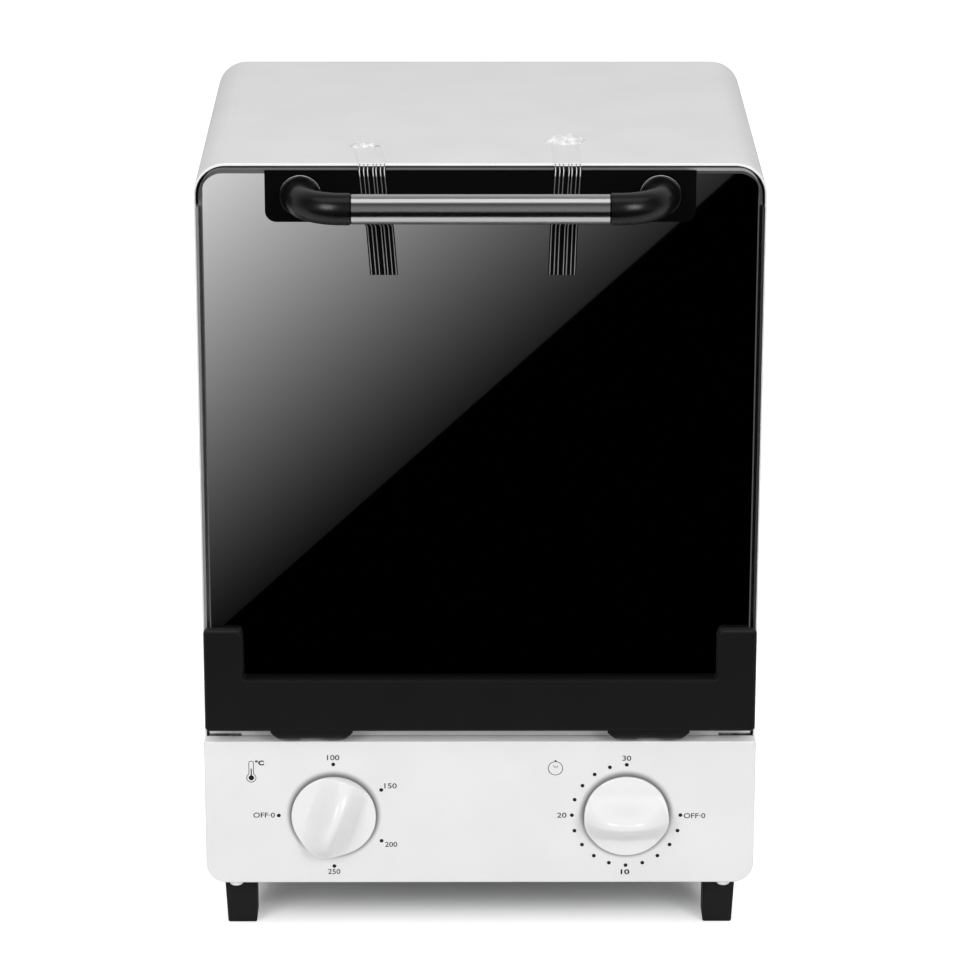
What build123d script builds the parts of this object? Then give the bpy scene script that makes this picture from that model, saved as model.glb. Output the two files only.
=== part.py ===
from build123d import *
from math import acos, cos, degrees, radians, sin, sqrt
import os

# A bench-top dry heat sterilizer: a white sheet-metal cabinet on four feet, with a
# bottom-hinged glass door, a control panel with two knobs below it, and a heated
# chamber with a wire rack and a tray.  Sizes are in millimetres.  X runs to the right
# as seen from the front, Y to the rear, Z up.  While the pieces are made, Y is counted
# from the front edge of the outer cover; keep() then moves the origin to the middle of
# the footprint.

# ---- Cabinet -------------------------------------------------------------------
cabinet_width = 250.0
cover_depth = 202.0
foot_height = 25.0
body_height = 336.0
cover_sheet = 1.0
cover_top_radius = 14.0
cover_bottom_radius = 9.3
cover_lip_width = 20.0
hem_thickness = 2.0
hem_depth = 7.0
hem_nose_radius = 0.9
sheet_gap = 0.3
edge_gap = 0.1
cut_margin = 0.5

side_vent_length = 26.0
side_vent_height = 3.0
side_vent_pitch_y = 32.0
side_vent_pitch_z = 8.0
side_vent_columns = 3
side_vent_rows = 4
side_vent_rear_margin = 62.0
side_vent_height_up = 37.0

# ---- Rear panel ----------------------------------------------------------------
rear_sheet = 1.0
rear_recess = 3.0
rear_flange = 9.0
rear_vent_length = 30.0
rear_vent_height = 3.0
rear_vent_pitch_x = 42.0
rear_vent_pitch_z = 9.0
rear_vent_columns = 4
rear_vent_rows = 3
rear_vent_up_from_bottom = 47.0
rear_vent_down_from_roof = 36.0
rear_screw_inset = 12.0
rear_screw_inset_z = 22.0

# ---- Cord bush -----------------------------------------------------------------
bush_inset = 47.0
bush_up = 21.0
bush_bore = 7.6
bush_body = 12.5
bush_head = 19.0
bush_head_length = 8.0
bush_tail_length = 6.0
bush_shoulder = 15.5

# ---- Base and feet -------------------------------------------------------------
base_sheet = 1.0
base_flange = 13.0
base_vent_length = 34.0
base_vent_width = 4.0
base_vent_pitch = 12.0
base_vent_count = 7
foot_width = 14.7
foot_depth = 16.0
foot_inset = 7.5
foot_front_y = 4.0
foot_rear_margin = 8.0
foot_taper = 1.4
foot_edge = 0.9
foot_screw_radius = 2.0
foot_screw_head_radius = 3.4
foot_screw_head_height = 2.2
foot_screw_recess_radius = 4.2
foot_screw_recess_depth = 18.0
screw_clearance = 0.1
screw_head_dome = 0.55

# ---- Control panel -------------------------------------------------------------
panel_height = 69.2
panel_reach = 8.0
panel_sheet = 1.2
panel_edge_radius = 0.8
panel_top_radius = 1.4
panel_lip = 9.0
panel_lip_sheet = 1.0
panel_lip_inset = 28.0
panel_screw_inset = 13.5
panel_screw_head_radius = 3.1
panel_screw_head_height = 2.2
panel_screw_radius = 1.5
panel_screw_length = 5.0

# ---- Front frame and chamber ---------------------------------------------------
frame_sheet = 1.0
frame_overlap = 9.6
chamber_side_gap = 18.0
chamber_rear_gap = 14.0
chamber_floor_above_hinge = 8.0
chamber_top_gap = 13.0
chamber_sheet = 0.8
chamber_mouth_radius = 3.0
wall_window_radius = 12.0
wall_window_up = 17.0
wall_window_height = 42.0
wall_window_margin = 24.0
shield_drop = 9.0
shield_front = 6.0

# ---- Runners, rack and tray ----------------------------------------------------
lower_runner_up = 57.0
upper_runner_up = 137.0
runner_width = 6.0
runner_drop = 8.0
runner_front_gap = 5.0
runner_rear_gap = 6.0
shelf_front_gap = 9.0
shelf_rear_gap = 10.0
shelf_gap = 0.3
rack_side_gap = 1.5
rack_frame_radius = 2.0
rack_wire_radius = 1.2
rack_wire_count = 13
rack_corner_radius = 8.0
rack_cross_wires = 2
tray_rim_side_gap = 2.5
tray_runner_gap = 2.0
tray_rim = 5.5
tray_depth = 18.0
tray_sheet = 0.8
tray_corner_radius = 12.0
tray_floor_radius = 3.0

# ---- Heaters -------------------------------------------------------------------
heater_radius = 4.0
heater_overhang = 6.2
heater_pin_radius = 1.5
heater_pin_length = 5.0
heater_front_gap = 75.0
heater_rear_gap = 42.0
lower_heater_up = 12.0
upper_heater_down = 14.0
insulator_radius = 6.0
insulator_flange_radius = 8.0
insulator_flange = 3.0
insulator_inner = 4.0
insulator_bore_gap = 0.15
insulator_hole_gap = 0.2

# ---- Door ----------------------------------------------------------------------
hinge_reach = 7.0
hinge_above_panel = 5.8
hinge_inset = 49.0
knuckle_radius = 4.5
glass_side_gap = 3.85
glass_thickness = 4.0
glass_top_gap = 1.0
glass_above_hinge = 4.0
glass_top_radius = 9.0
glass_bottom_radius = 2.0
glass_polish = 0.6
gasket_thickness = 1.5
gasket_width = 6.0
gasket_inset = 1.0
door_sheet = 1.0
door_frame_side_gap = 1.25
door_frame_below_glass_top = 17.0
door_frame_above_hinge = 1.0
door_frame_side_sheet = 1.2
door_frame_side_reach = 4.5
door_frame_tab_width = 15.5
door_frame_tab_drop = 2.8
door_window_side = 25.75
door_window_bottom = 24.0
door_window_top = 17.0
door_window_radius = 8.0

bottom_cover_side_gap = 1.0
bottom_cover_proud = 4.5
bottom_cover_above_hinge = 0.4
bottom_cover_band_height = 25.2
bottom_cover_ear_height = 48.6
bottom_cover_ear_width = 17.8
bottom_cover_ear_radius = 3.3
bottom_cover_corner = 2.0
bottom_cover_inside_radius = 1.2
bottom_cover_edge = 1.6
bottom_cover_wall = 2.0
bottom_cover_gap = 0.2
lug_top_width = 37.0
lug_bottom_width = 28.0

# ---- Hinges and stays ----------------------------------------------------------
hinge_pin_radius = 1.5
hinge_pin_half_length = 15.0
hinge_running_gap = 0.05
hinge_seat_gap = 0.02
hinge_eye_radius = 3.0
hinge_tongue_width = 10.0
hinge_notch_gap = 0.35
hinge_plate_sheet = 1.5
hinge_plate_width = 30.0
hinge_plate_down = 13.0
hinge_plate_up = 6.5
hinge_screw_offset = 10.5
hinge_screw_drop = 3.1
hinge_screw_radius = 1.4
hinge_screw_head_radius = 2.3
hinge_screw_head_height = 0.8
stay_radius = 60.0
stay_width = 8.0
stay_sheet = 1.5
stay_wall_gap = 7.2
stay_hook = 3.0
stay_hook_angle = 6.0
stay_tab_length = 9.0
stay_slot_gap = 0.45
stay_rest_gap = 0.15
door_open_angle = 90.0

# ---- Handle --------------------------------------------------------------------
handle_plate_width = 187.0
handle_plate_height = 23.0
handle_plate_thickness = 1.0
handle_plate_radius = 5.0
handle_post_inset = 15.5
handle_drop = 11.0
handle_standoff = 24.0
elbow_reach = 22.0
handle_tube_radius = 6.5
handle_tube_wall = 1.0
elbow_radius = 6.95
elbow_bend = 19.0
elbow_spigot_length = 9.0
elbow_spigot_gap = 0.1
rosette_radius = 9.0
rosette_height = 2.4
rosette_edge = 0.7
handle_screw_radius = 2.0
handle_screw_depth = 10.0
handle_screw_head_radius = 4.0
handle_screw_head_height = 2.0

# ---- Knobs and what they turn --------------------------------------------------
knob_inset = 58.5
knob_up = 33.3
knob_radius = 19.5
knob_gap = 0.5
knob_disc = 4.6
knob_height = 15.5
knob_draft = 1.6
knob_bar_base = 13.5
knob_bar_top = 8.4
knob_bar_edge = 1.6
knob_bar_root = 5.0
knob_hollow_depth = 3.0
knob_wall = 1.8
knob_hub_radius = 6.4
temperature_pointer = 22.0
timer_pointer = 90.0
shaft_radius = 3.0
shaft_flat = 1.0
shaft_seat_gap = 0.08
shaft_running_gap = 0.06
shaft_in_knob = 8.0
shaft_in_body = 9.0
control_boss_radius = 4.6
control_boss_gap = 0.2
control_screw_spread = 13.5
control_screw_radius = 1.4
control_screw_head_radius = 2.6
control_screw_head_height = 1.4
control_screw_length = 7.0
thermostat_width = 40.0
thermostat_height = 34.0
thermostat_depth = 24.0
thermostat_edge = 2.5
timer_width = 50.0
timer_height = 42.0
timer_depth = 30.0
timer_edge = 4.0
bell_radius = 17.0
bell_depth = 9.0
bell_sheet = 1.0
bell_dome = 5.4
bell_post_radius = 2.5
bell_post_length = 4.0

# ---- Sensing bulb, terminals and leads -----------------------------------------
bulb_radius = 2.5
bulb_length = 58.0
bulb_up = 20.0
bulb_rear_gap = 0.5
capillary_radius = 0.8
capillary_bend = 16.0
capillary_hole_radius = 2.2
clip_height = 5.0
clip_wrap = 1.0
clip_gap = 0.1
clip_foot = 6.0
terminal_inset = 91.0
terminal_rear_gap = 30.0
terminal_length = 44.0
terminal_width = 18.0
terminal_height = 15.0
terminal_poles = 3
terminal_screw_radius = 2.6
terminal_screw_depth = 3.0
lead_radius = 1.3
lead_bend = 12.0
supply_lead_bend = 6.0
supply_lead_offset = 16.7
link_lead_offset_timer = 21.7
link_lead_offset_thermostat = 10.0
lead_drop = 9.5

# ---- Positions that follow from the sizes --------------------------------------
body_bottom = foot_height
roof_z = body_bottom + body_height
half_width = cabinet_width / 2
base_z = body_bottom + cover_sheet
panel_top_z = body_bottom + panel_height
panel_front_y = -panel_reach
panel_screw_x = half_width - panel_screw_inset
foot_outer_x = half_width - foot_inset
foot_centre_x = foot_outer_x - foot_width / 2
rear_foot_y = cover_depth - foot_rear_margin - foot_depth

hinge_x = half_width - hinge_inset
hinge_y = -hinge_reach
hinge_z = panel_top_z + hinge_above_panel
frame_bottom_z = panel_top_z - frame_overlap
frame_half_width = half_width - hem_thickness - sheet_gap
frame_top_z = roof_z - hem_thickness - sheet_gap
chamber_half_width = half_width - chamber_side_gap
chamber_floor_z = hinge_z + chamber_floor_above_hinge
chamber_top_z = roof_z - chamber_top_gap
chamber_front = frame_sheet
chamber_rear = cover_depth - chamber_rear_gap
chamber_depth = chamber_rear - chamber_front
wall_outer_x = chamber_half_width + chamber_sheet
wall_window_low_z = body_bottom + wall_window_up
wall_window_high_z = wall_window_low_z + wall_window_height
shield_z = chamber_floor_z - shield_drop
lower_runner_z = chamber_floor_z + lower_runner_up
upper_runner_z = chamber_floor_z + upper_runner_up
runner_front = chamber_front + runner_front_gap
runner_rear = chamber_rear - runner_rear_gap
shelf_front = chamber_front + shelf_front_gap
shelf_rear = chamber_rear - shelf_rear_gap
rack_half_width = chamber_half_width - rack_side_gap
tray_rim_half_width = chamber_half_width - tray_rim_side_gap
tray_half_width = chamber_half_width - runner_width - tray_runner_gap
heater_half_length = wall_outer_x + heater_overhang
heater_front_y = chamber_front + heater_front_gap
heater_rear_y = chamber_rear - heater_rear_gap
lower_heater_z = chamber_floor_z + lower_heater_up
upper_heater_z = chamber_top_z - upper_heater_down
bulb_low_z = chamber_floor_z + bulb_up

rear_panel_back = cover_depth - rear_recess
rear_panel_front = rear_panel_back - rear_sheet
side_vent_centre_y = cover_depth - side_vent_rear_margin
side_vent_centre_z = body_bottom + side_vent_height_up
rear_vent_low_z = body_bottom + rear_vent_up_from_bottom
rear_vent_high_z = roof_z - rear_vent_down_from_roof
bush_x = half_width - bush_inset
bush_z = body_bottom + bush_up
bush_rear_y = rear_panel_back + bush_head_length

glass_width = cabinet_width - 2 * glass_side_gap
glass_front_y = hinge_y
glass_back_y = glass_front_y + glass_thickness
glass_top_z = roof_z - glass_top_gap
glass_bottom_z = hinge_z + glass_above_hinge
door_frame_front_y = glass_back_y + gasket_thickness
door_back_y = door_frame_front_y + door_sheet
door_frame_half_width = half_width - door_frame_side_gap
door_frame_top_z = glass_top_z - door_frame_below_glass_top
door_frame_bottom_z = hinge_z + door_frame_above_hinge
door_window_half_width = door_frame_half_width - door_window_side
door_window_low_z = door_frame_bottom_z + door_window_bottom
door_window_high_z = door_frame_top_z - door_window_top
bottom_cover_half_width = half_width - bottom_cover_side_gap
bottom_cover_front_y = glass_front_y - bottom_cover_proud
bottom_cover_low_z = hinge_z + bottom_cover_above_hinge
bottom_cover_band_z = bottom_cover_low_z + bottom_cover_band_height
bottom_cover_ear_z = bottom_cover_low_z + bottom_cover_ear_height
hinge_plate_low_z = hinge_z - hinge_plate_down
hinge_plate_high_z = hinge_z + hinge_plate_up
hinge_screw_z = hinge_z - hinge_screw_drop
stay_x = wall_outer_x + stay_wall_gap
stay_plane_y = chamber_front - hinge_y

handle_post_x = handle_plate_width / 2 - handle_post_inset
handle_z = glass_top_z - handle_drop
plate_front_y = glass_front_y - handle_plate_thickness
handle_tube_y = plate_front_y - handle_standoff
handle_tube_half_length = handle_post_x - elbow_reach
handle_front_y = handle_tube_y - max(elbow_radius, handle_tube_radius)
origin_y = (handle_front_y + max(bush_rear_y, cover_depth)) / 2

knob_x = half_width - knob_inset
knob_z = body_bottom + knob_up
knob_back_y = panel_front_y - knob_gap
control_face_y = panel_front_y + panel_sheet
terminal_x = half_width - terminal_inset
wall_low_z = base_z + base_sheet
terminal_y = chamber_rear - terminal_rear_gap

os.makedirs("parts", exist_ok=True)


def keep(shape, node):
    """Write one piece, with the origin in the middle of the footprint."""
    export_step(Pos(0, -origin_y, 0) * shape, f"parts/{node}.step")


def keep_group(pieces, node):
    """Write like pieces that share one node, as separate solids."""
    keep(Compound([solid for piece in pieces for solid in piece.solids()]), node)


def slab(x, y, z):
    """A block between two values on each axis."""
    size = [high - low for low, high in (x, y, z)]
    middle = [(high + low) / 2 for low, high in (x, y, z)]
    return Pos(*middle) * Box(*size)


def across(x, y, z):
    """A block and its mirror image on the other side of the object."""
    return slab(x, y, z) + slab((-x[1], -x[0]), y, z)


def rod(radius, start, direction, length):
    """A cylinder from a start point along a direction."""
    plane = Plane(origin=start, z_dir=direction)
    return extrude(plane * Circle(radius), amount=length)


def drill(radius, start, direction, length):
    """The cutter for a through hole, longer than the hole at both ends."""
    step = Vector(*direction).normalized() * cut_margin
    return rod(radius, tuple(Vector(*start) - step), direction, length + 2 * cut_margin)


def prism(outline, front, back):
    """An outline drawn as seen from the front, given its depth in Y."""
    plane = Plane(origin=(0, back, 0), x_dir=(1, 0, 0), z_dir=(0, -1, 0))
    return extrude(plane * outline, amount=back - front)


def upright(half, low, high, low_radius, high_radius):
    """A rectangle seen from the front, with its own radius at bottom and top corners."""
    outline = Pos(0, (low + high) / 2) * Rectangle(2 * half, high - low)
    outline = fillet(outline.vertices().group_by(Axis.Y)[-1], high_radius)
    return fillet(outline.vertices().group_by(Axis.Y)[0], low_radius)


def cabinet_outline(inset):
    """The cabinet's cross-section, offset inwards."""
    return upright(
        half_width - inset,
        body_bottom + inset,
        roof_z - inset,
        cover_bottom_radius - inset,
        cover_top_radius - inset,
    )


def pan_head(radius, height, shank_radius, start, direction, length):
    """A screw: a domed head standing on a surface, and a shank that goes into it."""
    inward = Vector(*direction) * -1
    head = rod(radius, start, direction, height)
    rim = head.edges().filter_by(GeomType.CIRCLE).sort_by(Axis(start, direction))[-1]
    head = fillet(rim, min(height, radius) * screw_head_dome)
    return head + rod(shank_radius, start, tuple(inward), length)


def both_sides(make, node):
    """Write a left and a right copy of a piece made for one side (+1 is the right)."""
    keep(make(1), f"{node}_right")
    keep(make(-1), f"{node}_left")


# ---- Outer cover: one folded sheet with a hemmed front edge ---------------------
cover = prism(cabinet_outline(0), 0, cover_depth)
cover -= prism(cabinet_outline(cover_sheet), 0, cover_depth)
hem = prism(cabinet_outline(0), 0, hem_depth) - prism(cabinet_outline(hem_thickness), 0, hem_depth)
hem = fillet(hem.edges().filter_by_position(Axis.Y, -0.01, 0.01), hem_nose_radius)
cover &= slab((-half_width, half_width), (hem_depth / 2, cover_depth), (body_bottom, roof_z))
cover += hem
lip_edge_x = half_width - cover_lip_width
cover -= slab((-lip_edge_x, lip_edge_x), (0, cover_depth), (body_bottom, base_z + hem_thickness))
side_vents = GridLocations(side_vent_pitch_y, side_vent_pitch_z, side_vent_columns, side_vent_rows)
side_vent_plane = Plane.YZ * Pos(side_vent_centre_y, side_vent_centre_z)
for spot in side_vents:
    slot = side_vent_plane * spot * SlotOverall(side_vent_length, side_vent_height)
    cover -= extrude(slot, amount=half_width, both=True)
foot_spots = [
    (side * foot_centre_x, y + foot_depth / 2)
    for side in (-1, 1)
    for y in (foot_front_y, rear_foot_y)
]
for x, y in foot_spots:
    cover -= drill(foot_screw_radius + screw_clearance, (x, y, body_bottom), (0, 0, 1), cover_sheet)
keep(cover, "outer_cover")

# ---- Rear panel: a shallow pan with vents, closing the back ---------------------
rear_outline = cabinet_outline(cover_sheet + sheet_gap)
rear = prism(rear_outline, rear_panel_front, rear_panel_back)
rear_hollow = prism(cabinet_outline(cover_sheet + sheet_gap + rear_sheet),
                    rear_panel_front - rear_flange, rear_panel_front)
rear += prism(rear_outline, rear_panel_front - rear_flange, rear_panel_front) - rear_hollow
rear -= slab((-half_width, half_width), (rear_panel_front - rear_flange, rear_panel_front),
             (body_bottom, base_z + base_sheet + sheet_gap))
rear_vents = GridLocations(rear_vent_pitch_x, rear_vent_pitch_z, rear_vent_columns, rear_vent_rows)
for level in (rear_vent_low_z, rear_vent_high_z):
    for spot in rear_vents:
        slot = Pos(0, level) * spot * SlotOverall(rear_vent_length, rear_vent_height)
        rear -= prism(slot, rear_panel_front, rear_panel_back)
rear -= drill(bush_body / 2 + edge_gap, (bush_x, rear_panel_front, bush_z), (0, 1, 0), rear_sheet)
rear_screw_x = half_width - rear_screw_inset
rear_screw_levels = (
    body_bottom + rear_screw_inset_z,
    (body_bottom + roof_z) / 2,
    roof_z - rear_screw_inset_z,
)
rear_screw_spots = [(side * rear_screw_x, z) for side in (-1, 1) for z in rear_screw_levels]
for x, z in rear_screw_spots:
    rear -= drill(panel_screw_radius + screw_clearance, (x, rear_panel_front, z), (0, 1, 0), rear_sheet)
keep(rear, "rear_panel")

rear_screws = [
    pan_head(panel_screw_head_radius, panel_screw_head_height, panel_screw_radius,
             (x, rear_panel_back, z), (0, 1, 0), panel_screw_length)
    for x, z in rear_screw_spots
]
keep_group(rear_screws, "rear_screws")

# ---- Cord bush: the gland that the mains cord comes through ---------------------
bush = rod(bush_body / 2, (bush_x, rear_panel_front - bush_tail_length, bush_z), (0, 1, 0),
           bush_tail_length + rear_sheet)
bush_head_part = rod(bush_head / 2, (bush_x, rear_panel_back, bush_z), (0, 1, 0), bush_head_length)
bush_rim = bush_head_part.edges().filter_by(GeomType.CIRCLE).sort_by(Axis.Y)[-1]
bush += chamfer(bush_rim, (bush_head - bush_body) / 4)
bush += rod(bush_shoulder / 2, (bush_x, rear_panel_front - bush_tail_length, bush_z), (0, 1, 0),
            bush_tail_length / 2)
bush -= drill(bush_bore / 2, (bush_x, rear_panel_front - bush_tail_length, bush_z), (0, 1, 0),
            bush_tail_length + rear_sheet + bush_head_length)
keep(bush, "cord_bush")

# ---- Base plate: a tray that carries the feet and the chassis walls -------------
base_half_width = half_width - cover_bottom_radius - sheet_gap
base_front = hem_depth + sheet_gap
base_rear = rear_panel_front - edge_gap
base = slab((-base_half_width, base_half_width), (base_front, base_rear), (base_z, base_z + base_sheet))
base += across((base_half_width - base_sheet, base_half_width), (base_front, base_rear),
               (base_z, base_z + base_flange))
base_middle_y = (base_front + base_rear) / 2
for index in range(base_vent_count):
    offset = (index - (base_vent_count - 1) / 2) * base_vent_pitch
    slot = Pos(0, base_middle_y + offset) * SlotOverall(base_vent_length, base_vent_width)
    base -= Pos(0, 0, base_z) * extrude(slot, amount=base_sheet)
for x, y in foot_spots:
    base -= drill(foot_screw_radius + screw_clearance, (x, y, base_z), (0, 0, 1), base_sheet)
keep(base, "base_plate")


def foot(side, front_y):
    """A moulded foot: a block with a tapered outer face, screwed on from below."""
    inner_x = foot_outer_x - foot_width
    outline = Polyline(
        (inner_x, 0),
        (foot_outer_x - foot_taper, 0),
        (foot_outer_x, foot_height),
        (inner_x, foot_height),
        close=True,
    )
    block = prism(make_face(outline), front_y, front_y + foot_depth)
    block = fillet(block.edges().filter_by(Axis.Y).group_by(Axis.Z)[0], foot_edge)
    block = fillet(block.edges().filter_by(Axis.Z), foot_edge)
    screw = (foot_centre_x, front_y + foot_depth / 2, 0)
    block -= rod(foot_screw_recess_radius, screw, (0, 0, 1), foot_screw_recess_depth)
    block -= drill(foot_screw_radius + screw_clearance, screw, (0, 0, 1), foot_height)
    return block if side > 0 else mirror(block, Plane.YZ)


for end, y in (("front", foot_front_y), ("rear", rear_foot_y)):
    for side_name, side in (("left", -1), ("right", 1)):
        keep(foot(side, y), f"foot_{end}_{side_name}")

foot_screw_length = base_z + 3 * base_sheet - foot_screw_recess_depth
foot_screws = []
for x, y in foot_spots:
    seat = foot_screw_recess_depth
    foot_screws.append(pan_head(foot_screw_head_radius, foot_screw_head_height, foot_screw_radius,
                                (x, y, seat), (0, 0, -1), foot_screw_length))
keep_group(foot_screws, "foot_screws")

# ---- Control panel: a shallow pan below the door --------------------------------
panel_outline = upright(half_width, body_bottom, panel_top_z, cover_bottom_radius, panel_top_radius)
panel_inside = upright(half_width - panel_sheet, body_bottom + panel_sheet, panel_top_z - panel_sheet,
                       cover_bottom_radius - panel_sheet, panel_top_radius - panel_sheet)
panel = prism(panel_outline, panel_front_y, 0)
panel = fillet(panel.edges().filter_by_position(Axis.Y, panel_front_y - 0.01, panel_front_y + 0.01),
               panel_edge_radius)
panel -= prism(panel_inside, control_face_y, 0)
panel_lip_half = half_width - panel_lip_inset
for low, high in (
    (panel_top_z - panel_sheet - panel_lip, panel_top_z - panel_sheet),
    (body_bottom + panel_sheet, body_bottom + panel_sheet + panel_lip),
):
    panel += slab((-panel_lip_half, panel_lip_half), (-panel_lip_sheet, 0), (low, high))
knob_spots = (-knob_x, knob_x)
for x in knob_spots:
    panel -= drill(control_boss_radius + control_boss_gap, (x, panel_front_y, knob_z), (0, 1, 0), panel_sheet)
    for side in (-1, 1):
        panel -= drill(control_screw_radius + screw_clearance,
                     (x + side * control_screw_spread, panel_front_y, knob_z), (0, 1, 0), panel_sheet)
panel_screw_y = panel_front_y / 2
for side in (-1, 1):
    panel -= drill(panel_screw_radius + screw_clearance, (side * panel_screw_x, panel_screw_y, body_bottom),
                 (0, 0, 1), panel_sheet)
keep(panel, "control_panel")

panel_screws = [
    pan_head(panel_screw_head_radius, panel_screw_head_height, panel_screw_radius,
             (side * panel_screw_x, panel_screw_y, body_bottom), (0, 0, -1), panel_screw_length)
    for side in (-1, 1)
]
keep_group(panel_screws, "panel_screws")

# ---- Front frame: the plate round the chamber's mouth ---------------------------
stay_inner = stay_radius - stay_width / 2
stay_outer = stay_radius + stay_width / 2
stay_slot_low = hinge_z + sqrt(stay_inner**2 - stay_plane_y**2) - stay_slot_gap
stay_slot_high = hinge_z + sqrt(stay_outer**2 - hinge_y**2) + stay_slot_gap
stay_slot_half = stay_sheet / 2 + stay_slot_gap
frame_outline = upright(frame_half_width, frame_bottom_z, frame_top_z, edge_gap,
                        cover_top_radius - hem_thickness - sheet_gap)
mouth = upright(chamber_half_width, chamber_floor_z, chamber_top_z,
                chamber_mouth_radius, chamber_mouth_radius)
frame = prism(frame_outline, 0, frame_sheet) - prism(mouth, 0, frame_sheet)
frame -= across((stay_x - stay_slot_half, stay_x + stay_slot_half), (0, frame_sheet),
                (stay_slot_low, stay_slot_high))
tongue_half = hinge_tongue_width / 2
tongue_slot = hinge_eye_radius + hinge_notch_gap
frame -= across((hinge_x - tongue_half - hinge_notch_gap, hinge_x + tongue_half + hinge_notch_gap),
                (0, frame_sheet), (hinge_z - tongue_slot, hinge_z + tongue_slot))
hinge_screw_spots = [
    side * hinge_x + offset for side in (-1, 1) for offset in (-hinge_screw_offset, hinge_screw_offset)
]
for x in hinge_screw_spots:
    frame -= drill(hinge_screw_radius + screw_clearance, (x, 0, hinge_screw_z), (0, 1, 0), frame_sheet)
keep(frame, "front_frame")

# ---- Chassis walls, which carry the chamber and stand on the base plate ---------
wall_high_z = chamber_top_z + chamber_sheet
heater_spots = [(y, z) for y in (heater_front_y, heater_rear_y) for z in (lower_heater_z, upper_heater_z)]


def chamber_wall(side):
    """A side wall of the chamber, with a window in its leg for air and leads."""
    wall = slab((chamber_half_width, wall_outer_x), (chamber_front, chamber_rear), (wall_low_z, wall_high_z))
    window_length = chamber_depth - 2 * wall_window_margin
    window_height = wall_window_high_z - wall_window_low_z
    window = RectangleRounded(window_length, window_height, wall_window_radius)
    window_y = (chamber_front + chamber_rear) / 2
    window_z = (wall_window_low_z + wall_window_high_z) / 2
    wall -= extrude(Plane.YZ * Pos(window_y, window_z) * window, amount=half_width)
    for y, z in heater_spots:
        wall -= drill(insulator_radius + insulator_hole_gap, (chamber_half_width, y, z), (1, 0, 0), chamber_sheet)
    return wall if side > 0 else mirror(wall, Plane.YZ)


both_sides(chamber_wall, "chamber_wall")

panel_edge_x = chamber_half_width - edge_gap
bulb_y = chamber_rear - bulb_rear_gap - clip_wrap - bulb_radius
bulb_x = -knob_x
capillary_hole = (bulb_x, bulb_y)
floor_depth = (chamber_front + edge_gap, chamber_rear - edge_gap)
floor = slab((-panel_edge_x, panel_edge_x), floor_depth, (chamber_floor_z - chamber_sheet, chamber_floor_z))
floor -= Pos(*capillary_hole, chamber_floor_z) * Cylinder(capillary_hole_radius, 2 * chamber_sheet)
keep(floor, "chamber_floor")
ceiling = slab((-panel_edge_x, panel_edge_x), floor_depth, (chamber_top_z, wall_high_z))
keep(ceiling, "chamber_ceiling")
back_wall = slab((-wall_outer_x, wall_outer_x), (chamber_rear, chamber_rear + chamber_sheet),
                 (shield_z, wall_high_z))
keep(back_wall, "chamber_back")
shield = slab((-panel_edge_x, panel_edge_x), (shield_front, chamber_rear - edge_gap),
              (shield_z, shield_z + chamber_sheet))
shield -= Pos(*capillary_hole, shield_z) * Cylinder(capillary_hole_radius, 4 * chamber_sheet)
keep(shield, "heat_shield")


def runner(side, level):
    """An angle strip spot-welded to the wall: its ledge carries a rack or tray."""
    outer = chamber_half_width
    strip = slab((outer - runner_width, outer), (runner_front, runner_rear), (level - chamber_sheet, level))
    strip += slab((outer - chamber_sheet, outer), (runner_front, runner_rear), (level - runner_drop, level))
    return strip if side > 0 else mirror(strip, Plane.YZ)


both_sides(lambda side: runner(side, lower_runner_z), "lower_runner")
both_sides(lambda side: runner(side, upper_runner_z), "upper_runner")

# ---- Wire rack: a bent frame with welded wires ----------------------------------
rack_z = upper_runner_z + shelf_gap + rack_frame_radius
rack_line_x = rack_half_width - rack_frame_radius
rack_line_front = shelf_front + rack_frame_radius
rack_line_rear = shelf_rear - rack_frame_radius
rack_middle_y = (rack_line_front + rack_line_rear) / 2
rack_plane = Plane(origin=(0, rack_middle_y, rack_z))
rack_loop = rack_plane * RectangleRounded(2 * rack_line_x, rack_line_rear - rack_line_front, rack_corner_radius)
rack_path = rack_loop.wire()
rack_start = Plane(origin=rack_path @ 0, z_dir=rack_path % 0)
rack = sweep(rack_start * Circle(rack_frame_radius), path=rack_path)
wire_pitch = 2 * rack_line_x / (rack_wire_count + 1)
for index in range(1, rack_wire_count + 1):
    wire_x = index * wire_pitch - rack_line_x
    rack += rod(rack_wire_radius, (wire_x, rack_line_front, rack_z), (0, 1, 0),
                rack_line_rear - rack_line_front)
for index in range(1, rack_cross_wires + 1):
    cross_y = rack_line_front + index * (rack_line_rear - rack_line_front) / (rack_cross_wires + 1)
    rack += rod(rack_wire_radius, (-rack_line_x, cross_y, rack_z), (1, 0, 0), 2 * rack_line_x)
keep(rack, "wire_rack")

# ---- Instrument tray: a drawn pan hung by its rim -------------------------------
tray_rim_z = lower_runner_z + shelf_gap
tray_middle_y = (shelf_front + shelf_rear) / 2
tray_rim_length = shelf_rear - shelf_front
tray_length = tray_rim_length - 2 * tray_rim
tray_outer = RectangleRounded(2 * tray_half_width, tray_length, tray_corner_radius)
tray_hollow = RectangleRounded(2 * (tray_half_width - tray_sheet), tray_length - 2 * tray_sheet,
                               tray_corner_radius - tray_sheet)
tray_top = RectangleRounded(2 * tray_rim_half_width, tray_rim_length, tray_corner_radius)
tray_top_z = tray_rim_z + tray_sheet
tray_body = extrude(Pos(0, 0, tray_top_z) * tray_outer, amount=-tray_depth)
tray_body = fillet(tray_body.faces().sort_by(Axis.Z)[0].edges(), tray_floor_radius)
tray_well = extrude(Pos(0, 0, tray_top_z) * tray_hollow, amount=tray_sheet - tray_depth)
tray_well = fillet(tray_well.faces().sort_by(Axis.Z)[0].edges(), tray_floor_radius - tray_sheet)
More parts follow.
